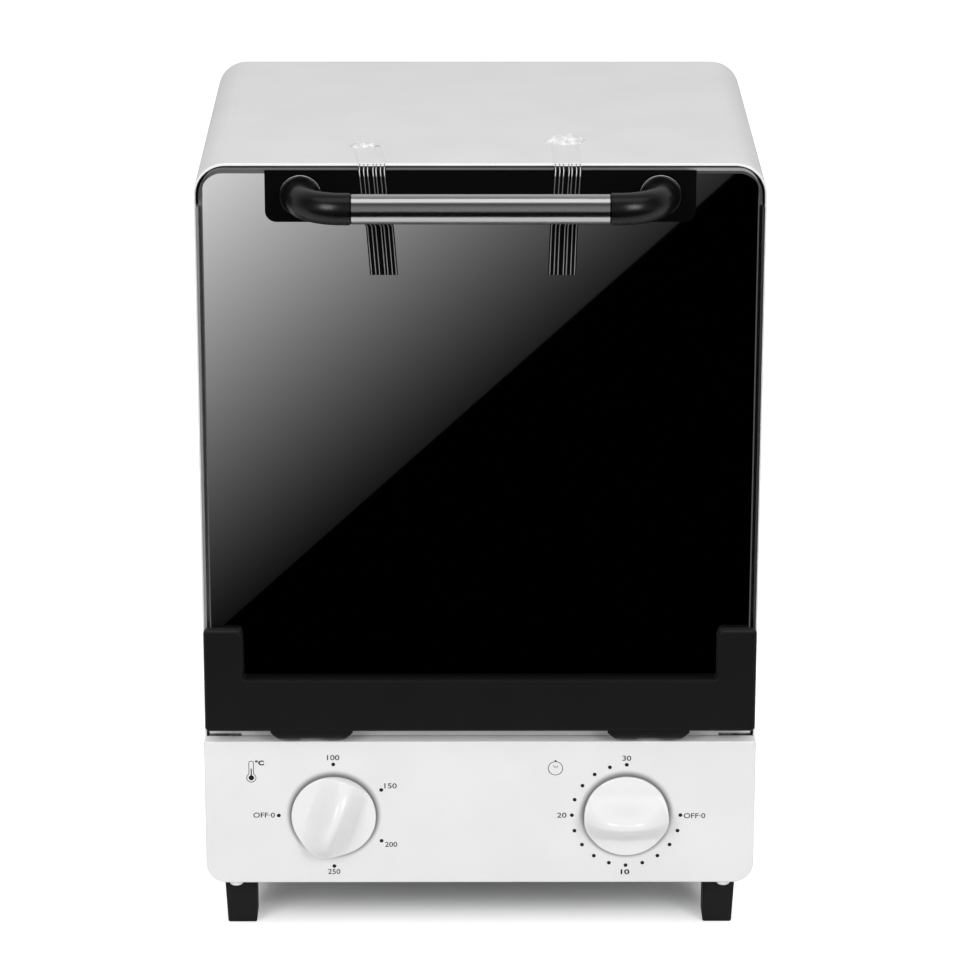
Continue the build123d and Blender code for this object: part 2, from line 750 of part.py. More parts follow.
tray = tray_body + extrude(Pos(0, 0, tray_rim_z) * tray_top, amount=tray_sheet) - tray_well
keep(Pos(0, tray_middle_y, 0) * tray, "instrument_tray")

# ---- Heaters: sheathed rods in ceramic bushes -----------------------------------
insulator_outer_x = wall_outer_x + insulator_flange


def heater(y, z):
    """A sheathed heating rod across the chamber, with a terminal pin at each end."""
    body = rod(heater_radius, (-heater_half_length, y, z), (1, 0, 0), 2 * heater_half_length)
    pin_half = heater_half_length + heater_pin_length
    return body + rod(heater_pin_radius, (-pin_half, y, z), (1, 0, 0), 2 * pin_half)


def insulator(side, y, z):
    """A ceramic bush: a spigot through the wall and a flange outside it."""
    inner_x = chamber_half_width - insulator_inner
    bush_part = rod(insulator_radius, (inner_x, y, z), (1, 0, 0), insulator_outer_x - inner_x)
    bush_part += rod(insulator_flange_radius, (wall_outer_x, y, z), (1, 0, 0), insulator_flange)
    bush_part -= rod(heater_radius + insulator_bore_gap, (0, y, z), (1, 0, 0), half_width)
    return bush_part if side > 0 else mirror(bush_part, Plane.YZ)


for node, level in (("lower_heaters", lower_heater_z), ("upper_heaters", upper_heater_z)):
    keep_group([heater(y, level) for y in (heater_front_y, heater_rear_y)], node)
insulators = [insulator(side, y, z) for side in (-1, 1) for y, z in heater_spots]
keep_group(insulators, "heater_insulators")

# ---- Door glass, gasket and inner frame -----------------------------------------
glass_outline = upright(glass_width / 2, glass_bottom_z, glass_top_z, glass_bottom_radius, glass_top_radius)
glass = prism(glass_outline, glass_front_y, glass_back_y)
glass = chamfer(glass.edges().filter_by_position(Axis.Y, glass_front_y - 0.01, glass_front_y + 0.01),
                glass_polish)
for side in (-1, 1):
    glass -= drill(handle_screw_radius + screw_clearance, (side * handle_post_x, glass_front_y, handle_z),
                 (0, 1, 0), glass_thickness)
keep(glass, "door_glass")

door_window = upright(door_window_half_width, door_window_low_z, door_window_high_z,
                      door_window_radius, door_window_radius)


def window_ring(margin_in, margin_out, front, back):
    """A band that follows the door window, between two margins outside it."""
    rings = [
        upright(door_window_half_width + margin, door_window_low_z - margin, door_window_high_z + margin,
                door_window_radius + margin, door_window_radius + margin)
        for margin in (margin_in, margin_out)
    ]
    return prism(rings[1] - rings[0], front, back)


keep(window_ring(gasket_inset, gasket_inset + gasket_width, glass_back_y, door_frame_front_y), "glass_gasket")

door_frame = slab((-door_frame_half_width, door_frame_half_width), (door_frame_front_y, door_back_y),
                  (door_frame_bottom_z, door_frame_top_z))
door_frame -= prism(door_window, door_frame_front_y, door_back_y)
door_frame += across((door_frame_half_width - door_frame_side_sheet, door_frame_half_width),
                     (door_frame_front_y - door_frame_side_reach, door_back_y),
                     (bottom_cover_low_z + bottom_cover_wall, door_frame_top_z))
door_frame += across((door_frame_half_width - door_frame_tab_width, door_frame_half_width),
                     (door_frame_front_y, door_back_y),
                     (door_frame_bottom_z - door_frame_tab_drop, door_frame_bottom_z))
door_frame -= across((hinge_x - tongue_half - 3 * hinge_notch_gap, hinge_x + tongue_half + 3 * hinge_notch_gap),
                     (door_frame_front_y, door_back_y), (door_frame_bottom_z, hinge_z + tongue_slot))
door_frame -= across((stay_x - stay_slot_half, stay_x + stay_slot_half), (door_frame_front_y, door_back_y),
                     (stay_slot_low, stay_slot_high))
keep(door_frame, "door_inner_frame")

# ---- Door bottom cover: the black rail with two ears and the hinge knuckles -----
cover_band = Pos(0, (bottom_cover_low_z + bottom_cover_band_z) / 2) * Rectangle(
    2 * bottom_cover_half_width, bottom_cover_band_z - bottom_cover_low_z)
ear_inner_x = bottom_cover_half_width - bottom_cover_ear_width
for side in (-1, 1):
    ear_middle_x = side * (bottom_cover_half_width + ear_inner_x) / 2
    ear_middle_z = (bottom_cover_low_z + bottom_cover_ear_z) / 2
    cover_band += Pos(ear_middle_x, ear_middle_z) * Rectangle(
        bottom_cover_ear_width, bottom_cover_ear_z - bottom_cover_low_z)
ear_tops = cover_band.vertices().group_by(Axis.Y)[-1].sort_by(Axis.X)
cover_band = fillet([ear_tops[1], ear_tops[2]], bottom_cover_ear_radius)
outer_tops = cover_band.vertices().group_by(Axis.Y)[-1].sort_by(Axis.X)
cover_band = fillet([outer_tops[0], outer_tops[-1]], bottom_cover_corner)
cover_band = fillet(cover_band.vertices().group_by(Axis.Y)[0], bottom_cover_corner)
inside_corners = cover_band.vertices().filter_by_position(
    Axis.Y, bottom_cover_band_z - 0.01, bottom_cover_band_z + 0.01)
cover_band = fillet(inside_corners, bottom_cover_inside_radius)
bottom_cover = prism(cover_band, bottom_cover_front_y, glass_front_y)
front_edges = bottom_cover.edges().filter_by_position(
    Axis.Y, bottom_cover_front_y - 0.01, bottom_cover_front_y + 0.01)
bottom_cover = fillet(front_edges, bottom_cover_edge)
ledge_top_z = glass_bottom_z - bottom_cover_gap
bottom_cover += slab((-bottom_cover_half_width + bottom_cover_corner, bottom_cover_half_width - bottom_cover_corner),
                     (glass_front_y, door_frame_front_y - bottom_cover_gap), (bottom_cover_low_z, ledge_top_z))
bottom_cover -= slab((-ear_inner_x, ear_inner_x),
                     (bottom_cover_front_y + bottom_cover_wall, glass_front_y),
                     (ledge_top_z, bottom_cover_band_z - bottom_cover_wall))


def lug(side):
    """A hinge knuckle: a barrel round the hinge line with its ends cut at 45 degrees."""
    barrel = rod(knuckle_radius, (-lug_top_width / 2, hinge_y, hinge_z), (1, 0, 0), lug_top_width)
    outline = Polyline(
        (-lug_bottom_width / 2, hinge_z - knuckle_radius),
        (lug_bottom_width / 2, hinge_z - knuckle_radius),
        (lug_top_width / 2, hinge_z),
        (lug_top_width / 2, ledge_top_z),
        (-lug_top_width / 2, ledge_top_z),
        (-lug_top_width / 2, hinge_z),
        close=True,
    )
    trim = prism(make_face(outline), hinge_y - knuckle_radius, hinge_y + knuckle_radius)
    return Pos(side * hinge_x, 0, 0) * (barrel & trim)


hinge_notch_half = tongue_half + hinge_notch_gap
for side in (-1, 1):
    bottom_cover += lug(side)
    notch_x = (side * hinge_x - hinge_notch_half, side * hinge_x + hinge_notch_half)
    bottom_cover -= slab(notch_x, (hinge_y - tongue_slot, 0), (hinge_z - 2 * knuckle_radius, hinge_z))
    bottom_cover -= slab(notch_x, (hinge_y, 0), (hinge_z, hinge_z + tongue_slot))
    bottom_cover -= rod(tongue_slot, (notch_x[0], hinge_y, hinge_z), (1, 0, 0), 2 * hinge_notch_half)
    bottom_cover -= rod(hinge_pin_radius + hinge_seat_gap,
                        (side * hinge_x - hinge_pin_half_length, hinge_y, hinge_z), (1, 0, 0),
                        2 * hinge_pin_half_length)
keep(bottom_cover, "door_bottom_cover")


def hinge_pin(side):
    """The pin, fixed in the door's knuckle, that turns in the bracket's eye."""
    return rod(hinge_pin_radius, (side * hinge_x - hinge_pin_half_length, hinge_y, hinge_z),
               (1, 0, 0), 2 * hinge_pin_half_length)


both_sides(hinge_pin, "hinge_pin")


def hinge_bracket(side):
    """A plate behind the front frame with a tongue that ends in the hinge eye."""
    middle = side * hinge_x
    plate = slab((middle - hinge_plate_width / 2, middle + hinge_plate_width / 2),
                 (frame_sheet, frame_sheet + hinge_plate_sheet), (hinge_plate_low_z, hinge_plate_high_z))
    tongue = slab((middle - tongue_half, middle + tongue_half), (hinge_y, frame_sheet),
                  (hinge_z - hinge_eye_radius, hinge_z + hinge_eye_radius))
    eye = rod(hinge_eye_radius, (middle - tongue_half, hinge_y, hinge_z), (1, 0, 0), hinge_tongue_width)
    bracket = plate + tongue + eye
    bracket -= drill(hinge_pin_radius + hinge_running_gap, (middle - tongue_half, hinge_y, hinge_z),
                   (1, 0, 0), hinge_tongue_width)
    for offset in (-hinge_screw_offset, hinge_screw_offset):
        bracket -= drill(hinge_screw_radius + screw_clearance, (middle + offset, frame_sheet, hinge_screw_z),
                       (0, 1, 0), hinge_plate_sheet)
    return bracket


both_sides(hinge_bracket, "hinge_bracket")

hinge_screws = [
    pan_head(hinge_screw_head_radius, hinge_screw_head_height, hinge_screw_radius,
             (x, 0, hinge_screw_z), (0, -1, 0), frame_sheet + 2 * hinge_plate_sheet)
    for x in hinge_screw_spots
]
keep_group(hinge_screws, "hinge_screws")


def arc_point(radius, angle):
    """A point of the stay's plane, at an angle above the line that runs back from the hinge."""
    return (hinge_y + radius * cos(radians(angle)), hinge_z + radius * sin(radians(angle)))


def stay_blade(inner, outer, start, end):
    """A ring segment about the hinge line, between two radii and two angles."""
    middle = (start + end) / 2
    lines = (
        ThreePointArc(arc_point(outer, start), arc_point(outer, middle), arc_point(outer, end))
        + Line(arc_point(outer, end), arc_point(inner, end))
        + ThreePointArc(arc_point(inner, end), arc_point(inner, middle), arc_point(inner, start))
        + Line(arc_point(inner, start), arc_point(outer, start))
    )
    return extrude(Plane.YZ * make_face(lines), amount=stay_sheet / 2, both=True)


def door_stay(side):
    """A curved steel arm on the door that runs through the front frame; its hook
    meets the back of the frame when the door is fully open."""
    hook_low = stay_inner - stay_hook
    hook_end = degrees(acos((stay_plane_y + stay_rest_gap) / hook_low)) - door_open_angle
    tip_angle = degrees(acos((door_frame_front_y - hinge_y) / stay_outer))
    arm = stay_blade(stay_inner, stay_outer, hook_end - stay_hook_angle, tip_angle)
    arm += stay_blade(hook_low, stay_inner, hook_end - stay_hook_angle, hook_end)
    arm = Pos(stay_x, 0, 0) * arm
    tab_z = (stay_slot_low + stay_slot_gap, stay_slot_high - stay_slot_gap)
    arm += slab((stay_x - stay_tab_length, stay_x + stay_sheet / 2),
                (glass_back_y + edge_gap, door_frame_front_y), tab_z)
    return arm if side > 0 else mirror(arm, Plane.YZ)


both_sides(door_stay, "door_stay")

# ---- Handle: plate, two moulded elbows, brushed tube and screws -----------------
plate_low_z = glass_top_z - handle_plate_height
plate_outline = upright(handle_plate_width / 2, plate_low_z, glass_top_z, handle_plate_radius, edge_gap)
handle_plate = prism(plate_outline, plate_front_y, glass_front_y)
for side in (-1, 1):
    handle_plate -= drill(handle_screw_radius + screw_clearance, (side * handle_post_x, plate_front_y, handle_z),
                        (0, 1, 0), handle_plate_thickness)
keep(handle_plate, "handle_plate")


def handle_elbow(side):
    """A moulded elbow: rosette, quarter bend and the spigot that fills the tube's end."""
    corner = (handle_post_x, handle_tube_y, handle_z)
    path = FilletPolyline(
        (handle_post_x, plate_front_y, handle_z),
        corner,
        (handle_tube_half_length, handle_tube_y, handle_z),
        radius=elbow_bend,
    )
    start = Plane(origin=path @ 0, z_dir=path % 0)
    elbow = sweep(start * Circle(elbow_radius), path=path)
    rosette = rod(rosette_radius, (handle_post_x, plate_front_y, handle_z), (0, -1, 0), rosette_height)
    rosette_rim = rosette.edges().filter_by(GeomType.CIRCLE).sort_by(Axis.Y)[0]
    elbow += fillet(rosette_rim, rosette_edge)
    spigot_radius = handle_tube_radius - handle_tube_wall - elbow_spigot_gap
    elbow += rod(spigot_radius, (handle_tube_half_length, handle_tube_y, handle_z), (-1, 0, 0),
                 elbow_spigot_length)
    elbow -= rod(handle_screw_radius + screw_clearance, (handle_post_x, plate_front_y, handle_z), (0, -1, 0),
                 handle_screw_depth)
    turned = Pos(0, 0, handle_z) * Rot(0, 180, 0) * Pos(0, 0, -handle_z)
    return elbow if side > 0 else turned * elbow


both_sides(handle_elbow, "handle_elbow")

tube_start = (-handle_tube_half_length, handle_tube_y, handle_z)
tube = rod(handle_tube_radius, tube_start, (1, 0, 0), 2 * handle_tube_half_length)
tube -= drill(handle_tube_radius - handle_tube_wall, tube_start, (1, 0, 0), 2 * handle_tube_half_length)
keep(tube, "handle_tube")

handle_screw_length = glass_thickness + handle_plate_thickness + handle_screw_depth - screw_clearance
handle_screws = [
    pan_head(handle_screw_head_radius, handle_screw_head_height, handle_screw_radius,
             (side * handle_post_x, glass_back_y, handle_z), (0, 1, 0), handle_screw_length)
    for side in (-1, 1)
]
keep_group(handle_screws, "handle_screws")


# ---- Knobs and their shafts -----------------------------------------------------
def knob_shaft_solid(radius, length):
    """A round shaft with a flat on top, standing up from the origin."""
    solid = extrude(Circle(radius), amount=length)
    flat_low = radius - shaft_flat
    return solid - slab((flat_low, 2 * radius), (-radius, radius), (0, length))


def knob_solid():
    """A knob standing on its back: a disc with a bar grip across it, hollow behind."""
    section = Polyline(
        (-knob_radius, 0),
        (knob_radius, 0),
        (knob_radius, knob_disc),
        (knob_bar_base / 2, knob_disc),
        (knob_bar_top / 2, knob_height),
        (-knob_bar_top / 2, knob_height),
        (-knob_bar_base / 2, knob_disc),
        (-knob_radius, knob_disc),
        close=True,
    )
    outline = make_face(section)
    outline = fillet(outline.vertices().group_by(Axis.Y)[-1], knob_bar_edge)
    roots = outline.vertices().group_by(Axis.Y)[1].sort_by(Axis.X)[1:3]
    outline = fillet(roots, knob_bar_root)
    bar_plane = Plane(origin=(0, knob_radius, 0), x_dir=(1, 0, 0), z_dir=(0, -1, 0))
    solid = extrude(bar_plane * outline, amount=2 * knob_radius)
    envelope = Polyline(
        (0, 0),
        (knob_radius, 0),
        (knob_radius, knob_disc),
        (knob_radius - knob_draft, knob_height),
        (0, knob_height),
        close=True,
    )
    solid &= revolve(Plane.XZ * make_face(envelope), Axis.Z)
    ring = Circle(knob_radius - knob_wall) - Circle(knob_hub_radius)
    solid -= extrude(ring, amount=knob_hollow_depth)
    return solid - knob_shaft_solid(shaft_radius + shaft_seat_gap, shaft_in_knob)


def facing_front(x, pointer):
    """The place of a knob's back, turned so that its bar points to an angle past 12 o'clock."""
    plane = Plane(origin=(x, knob_back_y, knob_z), x_dir=(1, 0, 0), z_dir=(0, -1, 0))
    return plane.location * Rot(0, 0, -pointer)


shaft_length = shaft_in_knob + knob_gap + panel_sheet + shaft_in_body
for name, x, pointer in (("temperature", -knob_x, temperature_pointer), ("timer", knob_x, timer_pointer)):
    place = facing_front(x, pointer)
    keep(place * knob_solid(), f"{name}_knob")
    shaft = rod(shaft_radius, (0, 0, -shaft_length + shaft_in_knob), (0, 0, 1), shaft_length - shaft_in_knob)
    shaft += knob_shaft_solid(shaft_radius, shaft_in_knob - shaft_seat_gap)
    keep(place * shaft, f"{name}_shaft")


def control_body(x, body_width, body_height_z, depth, edge):
    """A switch body behind the panel, with a boss and a blind bore for the shaft."""
    outline = Pos(x, knob_z) * Rectangle(body_width, body_height_z)
    body = prism(outline, control_face_y, control_face_y + depth)
    body = fillet(body.edges().filter_by(Axis.Y), edge)
    body += rod(control_boss_radius, (x, control_face_y, knob_z), (0, -1, 0), panel_sheet)
    body -= rod(shaft_radius + shaft_running_gap, (x, panel_front_y, knob_z), (0, 1, 0),
                panel_sheet + shaft_in_body + shaft_running_gap)
    for side in (-1, 1):
        body -= rod(control_screw_radius + screw_clearance,
                    (x + side * control_screw_spread, control_face_y, knob_z), (0, 1, 0),
                    control_screw_length)
    return body


keep(control_body(-knob_x, thermostat_width, thermostat_height, thermostat_depth, thermostat_edge),
     "thermostat_body")
keep(control_body(knob_x, timer_width, timer_height, timer_depth, timer_edge), "timer_body")

timer_back_y = control_face_y + timer_depth
bell_base_y = timer_back_y + bell_post_length
bell = rod(bell_radius, (knob_x, bell_base_y, knob_z), (0, 1, 0), bell_depth)
bell = fillet(bell.edges().filter_by(GeomType.CIRCLE).sort_by(Axis.Y)[-1], bell_dome)
bell_inside = rod(bell_radius - bell_sheet, (knob_x, bell_base_y, knob_z), (0, 1, 0), bell_depth - bell_sheet)
bell -= fillet(bell_inside.edges().filter_by(GeomType.CIRCLE).sort_by(Axis.Y)[-1], bell_dome - bell_sheet)
bell += rod(bell_post_radius, (knob_x, timer_back_y, knob_z), (0, 1, 0), bell_post_length + bell_depth)
keep(bell, "timer_bell")

control_screws = [
    pan_head(control_screw_head_radius, control_screw_head_height, control_screw_radius,
             (x + side * control_screw_spread, panel_front_y, knob_z), (0, -1, 0),
             panel_sheet + control_screw_length - screw_clearance)
    for x in knob_spots
    for side in (-1, 1)
]
keep_group(control_screws, "control_screws")

# ---- Sensing bulb with its capillary, and the clips that hold it ----------------
thermostat_back_y = control_face_y + thermostat_depth
capillary_path = FilletPolyline(
    (bulb_x, thermostat_back_y, knob_z),
    (bulb_x, bulb_y, knob_z),
    (bulb_x, bulb_y, bulb_low_z),
    radius=capillary_bend,
)
capillary_start = Plane(origin=capillary_path @ 0, z_dir=capillary_path % 0)
capillary = sweep(capillary_start * Circle(capillary_radius), path=capillary_path)
capillary += rod(bulb_radius, (bulb_x, bulb_y, bulb_low_z), (0, 0, 1), bulb_length)
keep(capillary, "capillary_and_bulb")


def bulb_clip(z):
    """A spring clip round the bulb, with a foot on the chamber's back wall."""
    outer = bulb_radius + clip_gap + clip_wrap
    clip = rod(outer, (bulb_x, bulb_y, z), (0, 0, 1), clip_height)
    clip += slab((bulb_x, bulb_x + outer + clip_foot), (chamber_rear - clip_wrap, chamber_rear),
                 (z, z + clip_height))
    clip -= drill(bulb_radius + clip_gap, (bulb_x, bulb_y, z), (0, 0, 1), clip_height)
    return clip - slab((bulb_x - outer, bulb_x), (bulb_y - bulb_radius, bulb_y), (z, z + clip_height))


clip_levels = (bulb_low_z + clip_height, bulb_low_z + bulb_length - 2 * clip_height)
keep_group([bulb_clip(z) for z in clip_levels], "bulb_clips")

# ---- Terminal block and the leads -----------------------------------------------
terminal_top_z = wall_low_z + terminal_height
block = slab((terminal_x, terminal_x + terminal_length), (terminal_y, terminal_y + terminal_width),
             (wall_low_z, terminal_top_z))
pole_pitch = terminal_length / terminal_poles
for index in range(terminal_poles):
    pole_x = terminal_x + (index + 0.5) * pole_pitch
    pole_y = terminal_y + terminal_width / 2
    block -= rod(terminal_screw_radius, (pole_x, pole_y, terminal_top_z), (0, 0, -1), terminal_screw_depth)
keep(block, "terminal_block")


def lead(points, bend):
    """An insulated lead along straight runs joined by arcs."""
    path = FilletPolyline(*points, radius=bend)
    start = Plane(origin=path @ 0, z_dir=path % 0)
    return sweep(start * Circle(lead_radius), path=path)


lead_z = wall_low_z + terminal_height / 2
lead_exit_z = knob_z - lead_drop
supply_x = knob_x - supply_lead_offset
supply_lead = lead(
    [
        (terminal_x + pole_pitch / 2, terminal_y, lead_z),
        (terminal_x + pole_pitch / 2, (terminal_y + timer_back_y) / 2, lead_z),
        (supply_x, (terminal_y + timer_back_y) / 2, lead_exit_z),
        (supply_x, timer_back_y, lead_exit_z),
    ],
    supply_lead_bend,
)
link_y = timer_back_y + 2 * lead_bend
link_x = (link_lead_offset_thermostat - knob_x, knob_x - link_lead_offset_timer)
link_lead = lead(
    [
        (link_x[0], thermostat_back_y, lead_exit_z),
        (link_x[0], link_y, lead_exit_z),
        (link_x[1], link_y, lead_exit_z),
        (link_x[1], timer_back_y, lead_exit_z),
    ],
    lead_bend,
)
keep(supply_lead, "supply_lead")
keep(link_lead, "link_lead")
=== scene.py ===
import math

import bpy
import numpy as np
from mathutils import Matrix, Vector


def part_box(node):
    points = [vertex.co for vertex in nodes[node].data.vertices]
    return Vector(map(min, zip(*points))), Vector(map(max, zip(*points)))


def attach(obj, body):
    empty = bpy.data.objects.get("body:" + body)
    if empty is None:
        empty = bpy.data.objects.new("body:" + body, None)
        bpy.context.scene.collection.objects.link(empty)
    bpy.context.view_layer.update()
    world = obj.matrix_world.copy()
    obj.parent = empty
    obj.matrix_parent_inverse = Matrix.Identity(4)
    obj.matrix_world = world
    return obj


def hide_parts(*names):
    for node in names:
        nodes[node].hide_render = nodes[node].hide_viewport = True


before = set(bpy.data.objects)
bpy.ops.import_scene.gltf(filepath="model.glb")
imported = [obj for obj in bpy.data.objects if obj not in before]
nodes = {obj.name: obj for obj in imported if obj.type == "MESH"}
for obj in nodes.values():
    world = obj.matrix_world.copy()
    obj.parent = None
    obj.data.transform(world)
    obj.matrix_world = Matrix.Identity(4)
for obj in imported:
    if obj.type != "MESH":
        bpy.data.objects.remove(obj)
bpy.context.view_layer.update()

# ---- Outer cover, rear panel and control panel ---------------------------------
# Folded steel sheet with a white powder coat. The cover is one sheet with a rounded
# hem round its front edge; the two panels are cut from the same sheet and set in it.


def grey(level):
    """An even grey: the same level of red, green and blue."""
    return (level, level, level)


class Value:
    """What one socket gives inside a finish; arithmetic on it adds the Math nodes."""

    def __init__(self, finish, socket):
        self.finish = finish
        self.socket = socket

    def math(self, operation, *others):
        """A Math node's result for this value and others."""
        sockets = dict(enumerate((self, *others)))
        return self.finish.node("Math", {"operation": operation}, sockets)

    def __add__(self, other):
        return self.math("ADD", other)

    def __mul__(self, other):
        return self.math("MULTIPLY", other)

    def __sub__(self, other):
        return self.math("SUBTRACT", other)

    def __rsub__(self, other):
        return self * -1 + other

    def __truediv__(self, other):
        return self.math("DIVIDE", other)

    def __rtruediv__(self, other):
        return self.finish.node("Math", {"operation": "DIVIDE"}, {0: other, 1: self})

    def __pow__(self, other):
        return self.math("POWER", other)

    __radd__ = __add__
    __rmul__ = __mul__

    def over(self, low, high):
        """0 below low, 1 above high, and a smooth step between them."""
        smooth = {"interpolation_type": "SMOOTHSTEP"}
        return self.finish.node("MapRange", smooth, {0: self, 1: low, 2: high})

    def size(self):
        """The value without its sign."""
        return self.math("ABSOLUTE")


class Finish:
    """A material: its shader, and one method that adds any other node to it."""

    def __init__(self, name, **sockets):
        self.material = bpy.data.materials.new(name)
        self.material.use_nodes = True
        self.tree = self.material.node_tree
        self.shader = self.tree.nodes["Principled BSDF"]
        self.set(**sockets)

    def fill(self, made, sockets):
        """Sets a node's sockets from values, or links them where one is a Value."""
        for name, given in sockets.items():
            socket = made.inputs[name]
            if isinstance(given, Value):
                self.tree.links.new(given.socket, socket)
            elif socket.type == "RGBA" and len(given) == 3:
                socket.default_value = (*given, 1)
            else:
                socket.default_value = given

    def set(self, **sockets):
        """Fills the shader; a name's underscores stand for spaces."""
        self.fill(self.shader, {name.replace("_", " "): given for name, given in sockets.items()})

    def node(self, kind, settings=None, sockets=None, out=0):
        """Adds a node of a type: its settings or ramp stops first, then its sockets."""
        made = self.tree.nodes.new("ShaderNode" + kind)
        for name, given in (settings or {}).items():
            if name == "stops":
                elements = made.color_ramp.elements
                while len(elements) < len(given):
                    elements.new(1)
                for element, (place, colour) in zip(elements, given):
                    element.position = place
                    element.color = (*colour, 1)
            else:
                setattr(made, name, given)
        self.fill(made, sockets or {})
        return Value(self, made.outputs[out])

    def place(self):
        """The point of the piece in metres, from its own coordinates."""
        return self.node("TexCoord", out="Object")

    def axes(self):
        """The x, y and z of that point."""
        split = self.node("SeparateXYZ", None, {0: self.place()})
        return [Value(self, socket) for socket in split.socket.node.outputs]

    def noise(self, grain, detail=2.0, stretch=(1, 1, 1)):
        """Noise from 0 to 1 whose cells are about grain metres, times stretch."""
        scale = tuple(1 / (grain * s) for s in stretch)
        scaled = self.node("Mapping", None, {"Vector": self.place(), "Scale": scale})
        return self.node("TexNoise", None, {"Vector": scaled, "Scale": 1.0, "Detail": detail})

    def blend(self, share, first, second):
        """The first colour at share 0, the second at share 1."""
        return self.node("Mix", {"data_type": "RGBA"}, {0: share, 6: first, 7: second}, out=2)

    def relief(self, height, depth, strength=1.0, edge=0.0):
        """Bump of a depth in metres; edge rounds the piece's corners to that radius."""
        sockets = {"Height": height, "Distance": depth, "Strength": strength}
        if edge:
            sockets["Normal"] = self.node("Bevel", {"samples": 6}, {"Radius": edge})
        self.set(Normal=self.node("Bump", None, sockets))

    def inset(self, half_width, top, radius):
        """How far a point lies inside an upright outline with two round top corners:
        radius - sqrt(side^2 + rise^2), where side and rise start at the corner's centre."""
        x, _, z = self.axes()
        side = (x.size() - (half_width - radius)).math("MAXIMUM", 0.0)
        rise = (z - (top - radius)).math("MAXIMUM", 0.0)
        return radius - (side * side + rise * rise) ** 0.5

    def dress(self, *names):
        """Gives this finish to carried-over CAD nodes, by name."""
        for name in names:
            for place in nodes[name].material_slots:
                place.material = self.material


cover_low, cover_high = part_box("outer_cover")
panel_low, panel_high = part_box("control_panel")
enamel_white, enamel_shade = (0.80, 0.80, 0.803), (0.775, 0.775, 0.78)
hem_painted_highlight, hem_painted_shade = grey(0.90), grey(0.002)
dial_painted_shade, ledge_painted_light = grey(0.23), grey(0.99)
hem_corner = 0.014
hem_front, hem_back = -0.0846, -0.0834
hem_highlight_width, hem_shade_from = 0.0006, 0.0009
dial_side, dial_height = 0.0665, 0.0587
dial_edge, dial_shade_end = 0.0190, 0.0222

enamel = Finish("white_powder_coat", IOR=1.5, Specular_IOR_Level=0.18)
mottle = enamel.noise(0.035, 3).over(0.3, 0.7)
coat = enamel.blend(mottle, enamel_white, enamel_shade)
coat_x, coat_y, coat_z = enamel.axes()

# The hem: a painted highlight on its rounded rim, and painted shade on its inner part,
# in the gap that it leaves inside.
hem_inset = enamel.inset(cover_high.x, cover_high.z, hem_corner)
on_hem = coat_y.over(hem_front, hem_front + 0.0003)
on_hem = on_hem * (1 - coat_y.over(hem_back, hem_back + 0.0006))
coat = enamel.blend(on_hem * (1 - hem_inset.over(hem_highlight_width, hem_highlight_width + 0.0003)), coat, hem_painted_highlight)
coat = enamel.blend(on_hem * hem_inset.over(hem_shade_from, hem_shade_from + 0.0002), coat, hem_painted_shade)

# Painted shade on the panel round each dial, and painted light on the ledge on top of
# the panel, which lies in shade under the door.
on_panel = 1 - coat_y.over(panel_low.y + 0.0003, panel_low.y + 0.0006)
dial_across, dial_up = coat_x.size() - dial_side, coat_z - dial_height
from_dial = (dial_across * dial_across + dial_up * dial_up) ** 0.5
coat = enamel.blend(on_panel * (1 - from_dial.over(dial_edge, dial_shade_end)), coat, dial_painted_shade)
ledge = coat_z.over(panel_high.z - 0.0006, panel_high.z - 0.0002)
ledge = ledge * (1 - coat_z.over(panel_high.z + 0.0002, panel_high.z + 0.0004))
coat = enamel.blend(ledge * (1 - coat_y.over(hem_front, hem_front + 0.0004)), coat, ledge_painted_light)
enamel.set(Base_Color=coat)
enamel.set(Roughness=enamel.noise(0.006, 2) * 0.08 + 0.54)
enamel.relief(enamel.noise(0.0011, 2), 0.00004, 0.35, edge=0.0004)
enamel.dress("outer_cover", "rear_panel", "control_panel")

# ---- Zinc-plated sheet ----------------------------------------------------------
# The hidden structure is bent from zinc-plated steel: floor, chamber shell, runners,
# heat shield, brackets, clips and the timer's bell, all left unpainted.
zinc = Finish("zinc_plate", Metallic=1.0)
spangle = zinc.node("TexVoronoi", {"feature": "SMOOTH_F1"},
                    {"Vector": zinc.place(), "Scale": 180.0, "Smoothness": 0.6})
cloud = zinc.noise(0.02, 3)
zinc_bright, zinc_dull = (0.70, 0.705, 0.715), (0.50, 0.51, 0.525)
crystals = (spangle * 0.6 + cloud * 0.7).over(0.2, 0.8)
zinc.set(Base_Color=zinc.blend(crystals, zinc_bright, zinc_dull))
zinc.set(Roughness=0.27 + cloud * 0.18)
zinc.relief(zinc.noise(0.0015, 2), 0.00002, 0.4, edge=0.0002)
zinc.dress("base_plate", "chamber_wall_left", "chamber_wall_right", "chamber_floor",
           "chamber_ceiling", "chamber_back", "heat_shield", "lower_runner_left",
           "lower_runner_right", "upper_runner_left", "upper_runner_right", "hinge_bracket_left",
           "hinge_bracket_right", "bulb_clips", "timer_bell")

# ---- Front frame ----------------------------------------------------------------
# One sheet with a large opening that the door closes, under a satin plating. The strip
# under the door is painted paler and less metallic, as painted light, and its two ends
# are painted dark, as painted shade.
strip_top = 0.0985
strip_end = 0.1077
strip_painted_light, strip_painted_light_cloud = grey(0.88), (0.82, 0.82, 0.825)
frame_pale, frame_cloudy = (0.62, 0.62, 0.63), (0.46, 0.46, 0.47)
bright_zinc = Finish("satin_plate_and_painted_light")
cloud = bright_zinc.noise(0.02, 3)
frame_x, _, frame_z = bright_zinc.axes()
